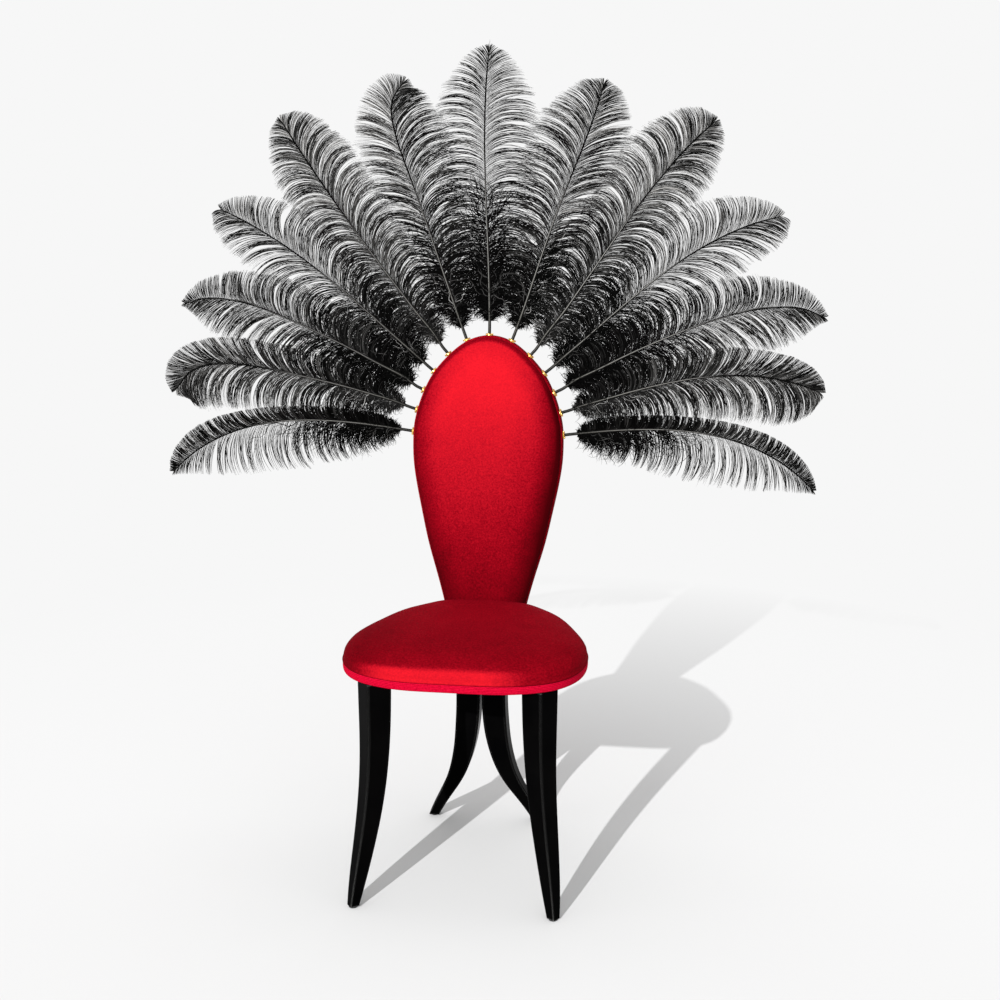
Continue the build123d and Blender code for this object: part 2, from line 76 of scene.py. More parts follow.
RACHIS = {
    "c": [(-0.2, 577.8), (-1.5, 626.6), (-4.3, 691.6), (-8.4, 767.4), (-12.0, 843.2), (-13.8, 919.1), (-12.6, 995.0), (-9.7, 1043.7), (-6.0, 1081.4)],
    "l1": [(-57.3, 564.8), (-73.5, 609.0), (-94.9, 668.0), (-119.7, 736.9), (-144.8, 805.7), (-170.6, 874.3), (-192.1, 944.2), (-191.1, 990.9), (-170.7, 1020.4)],
    "r1": [(56.9, 564.3), (71.9, 608.2), (90.9, 667.0), (113.3, 735.5), (137.7, 803.4), (164.0, 870.5), (189.3, 938.0), (203.7, 982.1), (213.1, 1016.9)],
    "l2": [(-104.4, 533.9), (-136.3, 572.6), (-178.3, 624.4), (-226.6, 685.5), (-273.9, 747.4), (-319.9, 810.2), (-364.6, 874.0), (-392.5, 915.6), (-413.7, 948.3)],
    "r2": [(104.4, 534.4), (134.9, 574.7), (173.7, 629.8), (217.6, 695.0), (261.8, 760.0), (308.2, 823.4), (358.5, 883.8), (393.5, 920.2), (422.5, 946.8)],
    "l3": [(-137.0, 492.1), (-173.3, 522.7), (-221.4, 563.9), (-278.0, 611.4), (-335.9, 657.4), (-395.9, 700.5), (-458.7, 739.5), (-500.6, 761.8), (-534.2, 777.3)],
    "r3": [(137.8, 493.0), (174.6, 525.4), (223.1, 569.3), (280.1, 620.0), (339.3, 668.2), (402.2, 711.3), (469.8, 746.6), (515.7, 764.0), (552.5, 774.1)],
    "l4": [(-160.5, 450.3), (-202.0, 472.0), (-257.8, 499.9), (-323.6, 531.0), (-390.2, 560.4), (-458.2, 586.4), (-529.2, 602.1), (-575.9, 602.0), (-611.3, 593.6)],
    "r4": [(162.4, 451.4), (206.2, 474.8), (265.0, 505.0), (334.8, 537.9), (406.1, 567.5), (479.3, 591.6), (555.4, 603.9), (604.7, 600.6), (640.4, 586.5)],
    "l5": [(-176.4, 404.0), (-220.9, 417.0), (-280.9, 432.5), (-351.4, 448.2), (-422.3, 462.1), (-493.6, 473.4), (-565.4, 470.8), (-607.0, 451.1), (-627.9, 422.1)],
    "r5": [(175.9, 404.0), (219.5, 418.2), (277.8, 436.3), (346.7, 454.5), (416.7, 467.6), (487.8, 472.8), (558.7, 467.2), (603.3, 456.8), (636.9, 444.9)],
    "l6": [(-184.4, 353.7), (-230.9, 359.1), (-293.0, 364.2), (-365.7, 365.4), (-438.2, 358.7), (-508.6, 341.0), (-574.0, 309.4), (-611.4, 281.4), (-637.2, 255.8)],
    "r6": [(183.9, 353.6), (229.7, 358.8), (291.0, 363.6), (362.7, 364.3), (434.1, 357.3), (503.5, 339.5), (568.1, 308.7), (605.4, 281.7), (631.5, 257.1)],
}
NOD = {"c": 16, "l1": 20, "r1": 14, "l2": 12, "r2": 18, "l3": 20, "r3": 13, "l4": 13, "r4": 19, "l5": 18, "r5": 14, "l6": 14, "r6": 18}
VANE = np.array([
    (0.05, 14, 14), (0.07, 30, 30), (0.11, 40, 42), (0.17, 48, 52), (0.25, 54, 60), (0.35, 61, 66), (0.45, 68, 72),
    (0.55, 74, 76), (0.65, 77, 80), (0.75, 78, 80), (0.83, 75, 77), (0.87, 71, 72),
    (0.90, 66, 67), (0.93, 57, 58), (0.96, 44, 45), (0.985, 30, 30), (1.0, 19, 19),
])
RACHIS_R = np.array([(0.0, 3.0), (0.10, 2.85), (0.25, 2.4), (0.45, 1.85), (0.65, 1.3), (0.82, 0.9), (0.93, 0.65), (1.0, 0.5)])
PLUMES = ["c"] + [f"{s}{n}" for n in range(1, 7) for s in "lr"]
# how full and dark the down at the foot of each plume is
DOWN = {"c": 1.0, "4": 1.0, "6": 1.0, "1": 0.75, "3": 0.7, "2": 0.24, "5": 0.35}


def long_name(key):
    return "plume_centre" if key == "c" else f"plume_{'left' if key[0] == 'l' else 'right'}_{key[1]}"


def back_point(p):
    """(across, up, towards the sitter) in the back's plane, in millimetres, to a point in the frame, in metres."""
    p = np.asarray(p, float)
    return (BACK_ORIGIN + p[..., 0:1] * BACK_U + p[..., 1:2] * BACK_V + p[..., 2:3] * BACK_W) / 1000


def cubic(points, start=None, end=None, closed=False, samples=400):
    """A cubic spline through points, by chord length, sampled evenly in its parameter."""
    p = np.asarray(points, float)
    if closed:
        n = len(p)
        p = np.vstack([p[-4:], p, p[:5]])
    h = np.linalg.norm(np.diff(p, axis=0), axis=1)
    t = np.concatenate([[0], np.cumsum(h)])
    m = len(p)
    a, b = np.zeros((m, m)), np.zeros_like(p)
    for i in range(1, m - 1):
        a[i, i - 1], a[i, i], a[i, i + 1] = h[i - 1], 2 * (h[i - 1] + h[i]), h[i]
        b[i] = 6 * ((p[i + 1] - p[i]) / h[i] - (p[i] - p[i - 1]) / h[i - 1])
    a[0, 0] = a[-1, -1] = 1
    if start is not None:
        a[0, 0], a[0, 1], b[0] = 2 * h[0], h[0], 6 * ((p[1] - p[0]) / h[0] - np.asarray(start))
    if end is not None:
        a[-1, -1], a[-1, -2], b[-1] = 2 * h[-1], h[-1], 6 * (np.asarray(end) - (p[-1] - p[-2]) / h[-1])
    d2 = np.linalg.solve(a, b)
    first, last = (t[4], t[4 + n]) if closed else (t[0], t[-1])
    x = np.linspace(first, last, samples, endpoint=not closed)
    i = np.clip(np.searchsorted(t, x, side="right") - 1, 0, m - 2)
    k, hi = (x - t[i])[:, None], h[i][:, None]
    y0, y1, m0, m1 = p[i], p[i + 1], d2[i], d2[i + 1]
    return y0 + k * ((y1 - y0) / hi - hi * (2 * m0 + m1) / 6) + k**2 * m0 / 2 + k**3 * (m1 - m0) / (6 * hi)


def even(points, count, closed=True):
    """The same line at even spacing."""
    p = np.vstack([points, points[:1]]) if closed else points
    s = np.concatenate([[0], np.cumsum(np.linalg.norm(np.diff(p, axis=0), axis=1))])
    x = np.linspace(0, s[-1], count, endpoint=not closed)
    return np.stack([np.interp(x, s, p[:, j]) for j in range(p.shape[1])], 1)


def smooth_step(a, b, x):
    k = np.clip((np.asarray(x, float) - a) / (b - a), 0, 1)
    return k * k * (3 - 2 * k)


def unit(v):
    return v / np.maximum(np.linalg.norm(v, axis=-1, keepdims=True), 1e-9)


# ---------------------------------------------------------------- meshes
def mesh_object(name, verts, faces, smooth=True, slots=None, material_index=None):
    """verts in metres, faces a list of index arrays, one array for each number of corners."""
    me = bpy.data.meshes.new(name)
    faces = [np.asarray(f, np.int32) for f in faces if len(f)]
    loops = np.concatenate([f.ravel() for f in faces])
    totals = np.concatenate([np.full(len(f), f.shape[1], np.int32) for f in faces])
    starts = np.concatenate([[0], np.cumsum(totals)[:-1]]).astype(np.int32)
    me.vertices.add(len(verts))
    me.vertices.foreach_set("co", np.asarray(verts, np.float32).ravel())
    me.loops.add(len(loops))
    me.loops.foreach_set("vertex_index", loops)
    me.polygons.add(len(totals))
    me.polygons.foreach_set("loop_start", starts)
    me.polygons.foreach_set("loop_total", totals)
    me.polygons.foreach_set("use_smooth", np.full(len(totals), smooth))
    for m in slots or []:
        me.materials.append(m)
    if material_index is not None:
        me.polygons.foreach_set("material_index", np.asarray(material_index, np.int32))
    me.update(calc_edges=True)
    me.validate()
    ob = bpy.data.objects.new(name, me)
    bpy.context.scene.collection.objects.link(ob)
    return ob


def grid_faces(rows, cols, wrap=True):
    """Quads of a grid whose rows are closed rings when wrap is true."""
    i = np.arange(rows * cols).reshape(rows, cols)
    j = np.roll(i, -1, axis=1) if wrap else i[:, 1:]
    i2 = i if wrap else i[:, :-1]
    return np.stack([i2[:-1], j[:-1], j[1:], i2[1:]], -1).reshape(-1, 4)


def ring_solid(name, rings, close_rows=False, cap_ends=True, **options):
    """A closed solid through rings of points in metres (rows, points in a ring, 3); each end is closed to its middle."""
    r = np.asarray(rings, float)
    rows, cols, _ = r.shape
    verts, faces = r.reshape(-1, 3), [grid_faces(rows, cols)]
    if close_rows:
        i = np.arange(rows * cols).reshape(rows, cols)
        j = np.roll(i, -1, axis=1)
        faces.append(np.stack([i[-1], j[-1], j[0], i[0]], -1))
    elif cap_ends:
        ends = np.array([r[0].mean(0), r[-1].mean(0)])
        verts = np.vstack([verts, ends])
        a, b = np.arange(cols), np.roll(np.arange(cols), -1)
        n = rows * cols
        faces.append(np.stack([b, a, np.full(cols, n)], -1))
        faces.append(np.stack([a + (rows - 1) * cols, b + (rows - 1) * cols, np.full(cols, n + 1)], -1))
    return mesh_object(name, verts, [f for f in faces], **options)


def put(ob, body, replaced=()):
    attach(ob, body)
    if replaced:
        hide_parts(*replaced)
    return ob


def applied(ob):
    """Puts a mesh's modifiers into it."""
    dg = bpy.context.evaluated_depsgraph_get()
    me = bpy.data.meshes.new_from_object(ob.evaluated_get(dg), depsgraph=dg)
    ob.modifiers.clear()
    old = ob.data
    ob.data = me
    if old.users == 0:
        bpy.data.meshes.remove(old)
    return ob


def coordinates(ob):
    co = np.zeros(len(ob.data.vertices) * 3, np.float32)
    ob.data.vertices.foreach_get("co", co)
    return co.reshape(-1, 3).astype(float)


def set_coordinates(ob, co):
    ob.data.vertices.foreach_set("co", np.asarray(co, np.float32).ravel())
    ob.data.update()


def remeshed(ob, size):
    m = ob.modifiers.new("remesh", "REMESH")
    m.mode, m.voxel_size = "VOXEL", size
    return applied(ob)


def relaxed(ob, steps=6, factor=0.5):
    m = ob.modifiers.new("relax", "SMOOTH")
    m.iterations, m.factor = steps, factor
    return applied(ob)


def puffed(ob, cap, hold, pressure=4.0, frames=20, even_out=60):
    """Inflates a cushion by cloth simulation. hold(co) is the share, 0 to 1, to which each vertex is held where it starts; no vertex moves further than cap."""
    start = coordinates(ob)
    held = ob.vertex_groups.new(name="held")
    share = hold(start)
    for level in (0.25, 0.5, 0.75, 1.0):
        ids = np.flatnonzero((share > level - 0.25) & (share <= level))
        held.add([int(i) for i in ids], float(level), "REPLACE")
    m = ob.modifiers.new("cloth", "CLOTH")
    s = m.settings
    s.quality, s.mass = 6, 0.3
    s.tension_stiffness = s.compression_stiffness = 18
    s.shear_stiffness, s.bending_stiffness = 8, 2.0
    s.use_pressure, s.uniform_pressure_force = True, pressure
    s.vertex_group_mass = "held"
    s.effector_weights.gravity = 0
    scene = bpy.context.scene
    m.point_cache.frame_start, m.point_cache.frame_end = 1, frames
    for f in range(1, frames + 1):
        scene.frame_set(f)
    dg = bpy.context.evaluated_depsgraph_get()
    me = bpy.data.meshes.new_from_object(ob.evaluated_get(dg), depsgraph=dg)
    co = np.zeros(len(me.vertices) * 3, np.float32)
    me.vertices.foreach_get("co", co)
    bpy.data.meshes.remove(me)
    ob.modifiers.clear()
    ob.vertex_groups.clear()
    scene.frame_set(1)
    move = co.reshape(-1, 3) - start
    size = np.linalg.norm(move, axis=1, keepdims=True)
    move *= np.minimum(1, cap / np.maximum(size, 1e-9))
    move = np.nan_to_num(move)
    # the swelling is evened out over the cloth, so that it stays taut and without creases
    pairs = np.zeros(len(ob.data.edges) * 2, np.int32)
    ob.data.edges.foreach_get("vertices", pairs)
    a, b = pairs.reshape(-1, 2).T
    near = np.maximum(np.bincount(a, minlength=len(move)) + np.bincount(b, minlength=len(move)), 1)
    for _ in range(even_out):
        total = np.stack([np.bincount(a, move[b, j], len(move)) + np.bincount(b, move[a, j], len(move)) for j in range(3)], 1)
        move = (0.4 * move + 0.6 * total / near[:, None]) * (1 - share[:, None])
    set_coordinates(ob, start + move)
    return ob


def float_attribute(ob, name, values):
    a = ob.data.attributes.get(name) or ob.data.attributes.new(name, "FLOAT", "POINT")
    a.data.foreach_set("value", np.asarray(values, np.float32))


# ---------------------------------------------------------------- materials
class Nodes:
    """A short way to write a node tree."""

    def __init__(self, name):
        self.mat = bpy.data.materials.new(name)
        self.mat.use_nodes = True
        self.tree = self.mat.node_tree
        self.tree.nodes.clear()
        self.out = self.add("OutputMaterial")

    def add(self, kind, **values):
        n = self.tree.nodes.new("ShaderNode" + kind)
        for k, v in values.items():
            setattr(n, k, v)
        return n

    def link(self, a, b):
        self.tree.links.new(a, b)

    def coords(self, scale=None):
        c = self.add("TexCoord").outputs["Object"]
        if scale is None:
            return c
        m = self.add("Mapping")
        m.inputs["Scale"].default_value = scale
        self.link(c, m.inputs["Vector"])
        return m.outputs[0]

    def noise(self, scale, detail=2.0, rough=0.5, coords=None, distortion=0.0):
        n = self.add("TexNoise")
        n.inputs["Scale"].default_value = scale
        n.inputs["Detail"].default_value = detail
        n.inputs["Roughness"].default_value = rough
        n.inputs["Distortion"].default_value = distortion
        self.link(coords or self.coords(), n.inputs["Vector"])
        return n.outputs["Fac"]

    def ramp(self, value, stops, interpolation="LINEAR"):
        r = self.add("ValToRGB")
        r.color_ramp.interpolation = interpolation
        while len(r.color_ramp.elements) < len(stops):
            r.color_ramp.elements.new(0.5)
        for e, (p, c) in zip(r.color_ramp.elements, stops):
            e.position = p
            e.color = (*c, 1) if len(c) == 3 else c
        self.link(value, r.inputs[0])
        return r.outputs["Color"]

    def math(self, operation, a, b=None, clamp=False):
        n = self.add("Math", operation=operation, use_clamp=clamp)
        for i, v in enumerate((a, b)):
            if v is None:
                continue
            if isinstance(v, (int, float)):
                n.inputs[i].default_value = v
            else:
                self.link(v, n.inputs[i])
        return n.outputs[0]

    def mix(self, fac, a, b, blend="MIX"):
        n = self.add("Mix", data_type="RGBA", blend_type=blend)
        for socket, v in ((n.inputs[0], fac), (n.inputs[6], a), (n.inputs[7], b)):
            if isinstance(v, (int, float)):
                socket.default_value = v
            elif isinstance(v, tuple):
                socket.default_value = (*v, 1)
            else:
                self.link(v, socket)
        return n.outputs[2]

    def bump(self, height, strength, distance):
        n = self.add("Bump")
        n.inputs["Strength"].default_value = strength
        n.inputs["Distance"].default_value = distance
        self.link(height, n.inputs["Height"])
        return n.outputs[0]

    def principled(self, colour=None, rough=None, normal=None, **values):
        p = self.add("BsdfPrincipled")
        for socket, v in (("Base Color", colour), ("Roughness", rough), ("Normal", normal)):
            if v is None:
                continue
            if isinstance(v, tuple):
                p.inputs[socket].default_value = (*v, 1)
            elif isinstance(v, (int, float)):
                p.inputs[socket].default_value = v
            else:
                self.link(v, p.inputs[socket])
        for k, v in values.items():
            p.inputs[k].default_value = (*v, 1) if isinstance(v, tuple) else v
        self.link(p.outputs[0], self.out.inputs["Surface"])
        return self.mat


def velvet(name, stops, speckle=3.1, fine=300.0):
    """Short-pile velvet: a pile that catches the light in fine grains and lies a little differently from place to
    place. Its brightness is painted light and shade: the float attribute nap says how lit each place is painted to
    look.
    """
    n = Nodes(name)
    grain = n.noise(fine, 3.0, 0.7)
    cloud = n.noise(17.0, 3.0, 0.55)
    # painted light and shade, from the mesh's attribute: the base colour is lighter where light is painted to fall
    nap = n.add("Attribute", attribute_name="nap").outputs["Fac"]
    strength = n.math("MULTIPLY", n.math("MULTIPLY", nap, n.math("SUBTRACT", 1.15, nap)), speckle)
    tone = n.math("ADD", nap, n.math("MULTIPLY", n.math("SUBTRACT", grain, 0.5), strength))
    tone = n.math("ADD", tone, n.math("MULTIPLY", n.math("SUBTRACT", cloud, 0.5), 0.16), clamp=True)
    colour = n.ramp(tone, stops)
    height = n.math("ADD", grain, n.math("MULTIPLY", n.noise(1500.0, 1.0), 0.5))
    return n.principled(
        colour, 0.85, n.bump(height, 0.30, 0.0012),
        **{"Sheen Weight": 0.04, "Sheen Roughness": 0.35, "Sheen Tint": (1.0, 0.03, 0.08), "Specular IOR Level": 0.01},
    )


RED_VELVET = velvet(
    "red velvet",
    [(0.0, (0.040, 0.0001, 0.0012)), (0.2, (0.128, 0.0005, 0.0034)), (0.33, (0.185, 0.0010, 0.0052)),
     (0.55, (0.285, 0.0030, 0.0088)), (1.0, (0.47, 0.0064, 0.0128))],
)


def knitted_band():
    n = Nodes("red band")
    grain = n.noise(430.0, 2.5, 0.65)
    ribs = n.add("TexWave", wave_type="BANDS", bands_direction="Z")
    ribs.inputs["Scale"].default_value = 110
    ribs.inputs["Distortion"].default_value = 2.0
    n.link(n.coords(), ribs.inputs["Vector"])
    tone = n.math("ADD", n.math("MULTIPLY", grain, 0.75), n.math("MULTIPLY", ribs.outputs["Fac"], 0.3))
    colour = n.ramp(tone, [(0.22, (0.17, 0.0003, 0.006)), (0.52, (0.40, 0.0010, 0.017)), (0.85, (0.56, 0.0050, 0.034))])
    return n.principled(
        colour, 0.75, n.bump(tone, 0.5, 0.0012),
        **{"Sheen Weight": 0.04, "Sheen Roughness": 0.4, "Sheen Tint": (1.0, 0.03, 0.12), "Specular IOR Level": 0.01},
    )


def lacquer():
    """Black lacquer with a painted highlight: its rounded edges that face the front are painted a lighter grey."""
    n = Nodes("black lacquer")
    cloud = n.noise(9.0, 4.0, 0.6)
    rough = n.ramp(n.noise(60.0, 3.0, 0.6, n.coords((1, 1, 0.12))), [(0.3, (0.13,) * 3), (0.75, (0.24,) * 3)])
    colour = n.ramp(cloud, [(0.3, (0.0005, 0.0005, 0.0006)), (0.8, (0.0018, 0.0017, 0.0017))])
    # painted highlight: a mask of the rounded edges, where the bevelled normal turns from the true one
    bevel = n.add("Bevel", samples=6)
    bevel.inputs["Radius"].default_value = 0.0024
    turned = n.add("VectorMath", operation="DOT_PRODUCT")
    n.link(bevel.outputs[0], turned.inputs[0])
    n.link(n.add("NewGeometry").outputs["Normal"], turned.inputs[1])
    edge = n.ramp(turned.outputs["Value"], [(0.955, (1, 1, 1)), (0.998, (0, 0, 0))])
    # the painted highlight is kept to edges that face the front (-y)
    ahead = n.add("VectorMath", operation="DOT_PRODUCT")
    n.link(bevel.outputs[0], ahead.inputs[0])
    ahead.inputs[1].default_value = (0.0, -1.0, 0.0)
    edge = n.math("MULTIPLY", edge, n.ramp(ahead.outputs["Value"], [(0.55, (0, 0, 0)), (0.85, (1, 1, 1))]), clamp=True)
    colour = n.mix(edge, colour, (0.085, 0.085, 0.083))
    return n.principled(
        colour, rough, n.bump(n.noise(220.0, 2.0, 0.5, n.coords((1, 1, 0.08))), 0.05, 0.0004),
        **{"Specular IOR Level": 0.004},
    )


def brass():
    n = Nodes("gold socket")
    wear = n.noise(160.0, 3.0, 0.6)
    colour = n.ramp(wear, [(0.25, (0.42, 0.20, 0.045)), (0.5, (0.80, 0.47, 0.12)), (0.8, (0.95, 0.66, 0.24))])
    rough = n.ramp(n.noise(500.0, 2.0), [(0.3, (0.20,) * 3), (0.8, (0.38,) * 3)])
    return n.principled(colour, rough, n.bump(wear, 0.15, 0.0005), **{"Metallic": 1.0})


def quill_finish():
    """Dark horn with a painted highlight: the side that faces front, a little left and up, is painted pale, fading to
    black towards the tip.
    """
    n = Nodes("quill")
    centre = n.add("VectorMath", operation="DISTANCE")
    n.link(n.coords(), centre.inputs[0])
    centre.inputs[1].default_value = tuple(back_point((0, 350, 0)).ravel())
    pale = n.ramp(
        centre.outputs["Value"],
        [(0.165, (0.02, 0.019, 0.016)), (0.21, (0.08, 0.077, 0.068)), (0.28, (0.15, 0.146, 0.135)), (0.40, (0.20, 0.195, 0.185)), (0.52, (0.17, 0.165, 0.16)), (0.66, (0.006, 0.006, 0.006))],
    )
    # painted highlight: pale where the normal faces the front, a little left and up, as a lit quill looks
    facing = n.add("VectorMath", operation="DOT_PRODUCT")
    n.link(n.add("TexCoord").outputs["Normal"], facing.inputs[0])
    front = unit(BACK_W + 0.20 * np.array([-1.0, 0.0, 0.0]) + 0.12 * BACK_V)
    facing.inputs[1].default_value = tuple(front)
    streak = n.noise(900.0, 2.0, 0.6)
    where = n.ramp(n.math("ADD", facing.outputs["Value"], n.math("MULTIPLY", n.math("SUBTRACT", streak, 0.5), 0.10)), [(0.925, (0, 0, 0)), (0.990, (1, 1, 1))])
    colour = n.mix(where, (0.008, 0.0078, 0.0072), pale)
    return n.principled(
        colour, n.ramp(streak, [(0.3, (0.35,) * 3), (0.8, (0.5,) * 3)]), n.bump(streak, 0.15, 0.0003),
        **{"Specular IOR Level": 0.08},
    )


def cloth(name, a, b, scale=900.0):
    n = Nodes(name)
    x = n.add("TexWave", wave_type="BANDS", bands_direction="X")
    y = n.add("TexWave", wave_type="BANDS", bands_direction="Y")
    for w in (x, y):
        w.inputs["Scale"].default_value = scale
        w.inputs["Distortion"].default_value = 0.6
        n.link(n.coords(), w.inputs["Vector"])
    weave = n.math("MULTIPLY", x.outputs["Fac"], y.outputs["Fac"])
    colour = n.mix(n.math("ADD", weave, n.math("MULTIPLY", n.noise(30.0, 3.0), 0.3), clamp=True), a, b)
    return n.principled(colour, 0.9, n.bump(weave, 0.4, 0.0004), **{"Specular IOR Level": 0.15})


def plywood():
    n = Nodes("plywood")
    grain = n.noise(14.0, 6.0, 0.65, n.coords((1.2, 12, 1.2)), 0.8)
    plies = n.add("TexWave", wave_type="BANDS", bands_direction="Z")
    plies.inputs["Scale"].default_value = 95
    n.link(n.coords(), plies.inputs["Vector"])
    colour = n.mix(
        n.math("MULTIPLY", plies.outputs["Fac"], 0.25),
        n.ramp(grain, [(0.25, (0.30, 0.17, 0.08)), (0.75, (0.56, 0.38, 0.20))]), (0.22, 0.12, 0.055),
    )
    return n.principled(colour, 0.62, n.bump(grain, 0.2, 0.0006), **{"Specular IOR Level": 0.3})


def metal(name, a, b, rough):
    n = Nodes(name)
    wear = n.noise(240.0, 3.0, 0.6)
    return n.principled(
        n.ramp(wear, [(0.3, a), (0.75, b)]), n.ramp(wear, [(0.3, (rough,) * 3), (0.8, (rough + 0.18,) * 3)]),
        n.bump(wear, 0.1, 0.0003), **{"Metallic": 1.0},
    )


def moulded(name, a, b):
    n = Nodes(name)
    grain = n.noise(700.0, 2.0)
    return n.principled(n.ramp(grain, [(0.3, a), (0.8, b)]), 0.5, n.bump(grain, 0.2, 0.0003))


LACQUER, BRASS, QUILL, BAND = lacquer(), brass(), quill_finish(), knitted_band()
BLACK_CLOTH = cloth("black lining", (0.006, 0.006, 0.007), (0.028, 0.027, 0.027))
PLYWOOD = plywood()
STEEL = metal("zinc-plated steel", (0.42, 0.42, 0.43), (0.62, 0.61, 0.58), 0.3)
NYLON = moulded("black nylon", (0.010, 0.010, 0.010), (0.022, 0.022, 0.022))
FOAM = moulded("foam", (0.62, 0.55, 0.36), (0.74, 0.68, 0.50))


def barb_shade(name, value, rough=0.55, spec=0.3, sheen=0.0):
    n = Nodes(name)
    return n.principled(
        (value * 1.02, value, value * 0.97), rough, None,
        **{"Specular IOR Level": spec, "Sheen Weight": sheen, "Sheen Roughness": 0.4},
    )


# the grey and pale shades are partly the barbs' own lighter tone and partly painted highlights of lit barbs, scattered
# at random
BARB_SHADES = [
    barb_shade("barbs black", 0.0028, 0.65, 0.01),
    barb_shade("barbs soot", 0.014, 0.60, 0.03),
    barb_shade("barbs slate", 0.055, 0.60, 0.06),
    barb_shade("barbs grey", 0.15, 0.60, 0.08),
    barb_shade("barbs pale highlight", 0.36, 0.60, 0.10),
]

for names, material in (
    (["front_leg_right", "front_leg_left", "rear_leg_right", "rear_leg_left"], LACQUER),
    (["quill_sockets"], BRASS),
    (["seat_board", "back_core"], PLYWOOD),
    (["seat_dust_cover"], BLACK_CLOTH),
    (["leg_plates", "leg_bolts", "leg_tee_nuts", "back_straps", "strap_screws"], STEEL),
    (["leg_glides"], NYLON),
    ([long_name(k) + "_quill" for k in PLUMES], QUILL),
):
    for node in names:
        ob = NODES[node]
        if not ob.material_slots:
            ob.data.materials.append(material)
        for s in ob.material_slots:
            s.material = material

# ---------------------------------------------------------------- seat
SEAT_CENTRE = np.array([0.0, -5 + FRAME_Y])


def seat_outline(count):
    half = np.array(SEAT_HALF, float)
    left = half[1:-1][::-1] * (-1, 1)
    line = even(cubic(np.vstack([half, left]), closed=True, samples=1200), count)
    line[:, 1] += FRAME_Y
    return line


def seat_ring(outline, inset, z):
    p = SEAT_CENTRE + (outline - SEAT_CENTRE) * (1 - inset / 225)
    return np.column_stack([p, np.full(len(p), z)]) / 1000


def foot_cutter(grow=0.8):
    """The room in the rear of the seat for the foot of the back, rounded at its front corners as the back's pad is."""
    half = np.array(BACK_HALF, float)
    rings = []
    for v in (-70.0, -26.0, 8.0, 40.0, 72.0, 110.0):
        reach = np.interp(v, half[:9, 1], half[:9, 0]) + grow
        side = [(reach, -130.0), (reach, 11.0), (reach - 1.0, 16.0), (reach - 2.4, 20.0), (reach - 5.0, 24.0), (reach - 9.0, 27.2), (reach - 15.0, 29.6), (reach - 25.0, 31.4), (reach - 42.0, 32.6)]
        ring = side + [(-u, w) for u, w in side[::-1]]
        rings.append(back_point(np.array([(u, v, w) for u, w in ring])))
    return ring_solid("cutter", rings[::-1])


def cut(ob, cutter):
    m = ob.modifiers.new("cut", "BOOLEAN")
    m.operation, m.object, m.solver = "DIFFERENCE", cutter, "EXACT"
    applied(ob)
    bm = bmesh.new()
    bm.from_mesh(ob.data)
    bmesh.ops.triangulate(bm, faces=[f for f in bm.faces if len(f.verts) > 4])
    bmesh.ops.remove_doubles(bm, verts=bm.verts, dist=4e-5)
    bmesh.ops.dissolve_degenerate(bm, edges=bm.edges, dist=2e-5)
    bmesh.ops.triangulate(bm, faces=bm.faces)
    bmesh.ops.recalc_face_normals(bm, faces=bm.faces)
    bm.to_mesh(ob.data)
    bm.free()
    return ob


outline = seat_outline(220)
levels = [(438.4, 1.8), (441.0, 1.9), (446.0, 0.8), (452.5, 1.8), (458.0, 5.0), (462.6, 10.0), (466.2, 17.5), (469.0, 27.0),
          (471.3, 40.0), (473.2, 57.0), (474.8, 78.0), (476.2, 103.0), (477.1, 132.0), (477.6, 165.0), (477.8, 200.0)]
SHRINK = 1.6


cushion = ring_solid("seat_cushion", [seat_ring(outline, i + SHRINK, z if n == 0 else z - SHRINK) for n, (z, i) in enumerate(levels)])
cutter = foot_cutter()
remeshed(cushion, 0.0045)
puffed(cushion, 0.0042, lambda co: smooth_step(0.4415, 0.4390, co[:, 2]))
relaxed(cushion, 10)
m = cushion.modifiers.new("smooth", "SUBSURF")
m.levels = m.render_levels = 1
applied(cushion)
co = coordinates(cushion)
co[:, 2] = np.maximum(co[:, 2], 0.43835)
set_coordinates(cushion, co)
whole_tree = BVHTree.FromPolygons([tuple(c) for c in co], [tuple(f.vertices) for f in cushion.data.polygons])
cut(cushion, cutter)
cushion.data.polygons.foreach_set("use_smooth", np.full(len(cushion.data.polygons), True))
cushion.data.set_sharp_from_angle(angle=math.radians(48))
cushion.data.materials.clear()
cushion.data.materials.append(RED_VELVET)


def seat_painted_light(ob):
    """Painted light and shade on the seat: a painted highlight along the middle of its front, painted shade in the
    groove over the band, and darker towards the front of the top, on the left and on the sides.
    """
    co = coordinates(ob)
    x, y, z = co[:, 0], co[:, 1] - FRAME_Y / 1000, co[:, 2]
    radial = unit(co[:, :2] - SEAT_CENTRE / 1000)
    normals = np.zeros(len(co) * 3, np.float32)
    ob.data.vertices.foreach_get("normal", normals)
    n = normals.reshape(-1, 3)
    ahead = np.where(z < 0.4440, -radial[:, 1], -n[:, 1])
    # painted highlight along the middle of the seat's front roll
    front = smooth_step(0.50, 0.80, ahead)
    top = 0.33 - 0.06 * smooth_step(0.05, -0.16, y)
    nap = top + front * 0.56 * smooth_step(0.180, 0.080, np.abs(x + 0.028)) - 0.12 * smooth_step(0.08, 0.2, -x)
    side = smooth_step(0.35, 0.9, np.abs(n[:, 0]))
    # painted shade in the groove over the band
    groove = smooth_step(0.4362, 0.4340, z)
    return (nap - 0.02 * side) * (1 - 0.85 * groove)


float_attribute(cushion, "nap", seat_painted_light(cushion))
put(cushion, "chair", ["seat_cover", "seat_foam"])

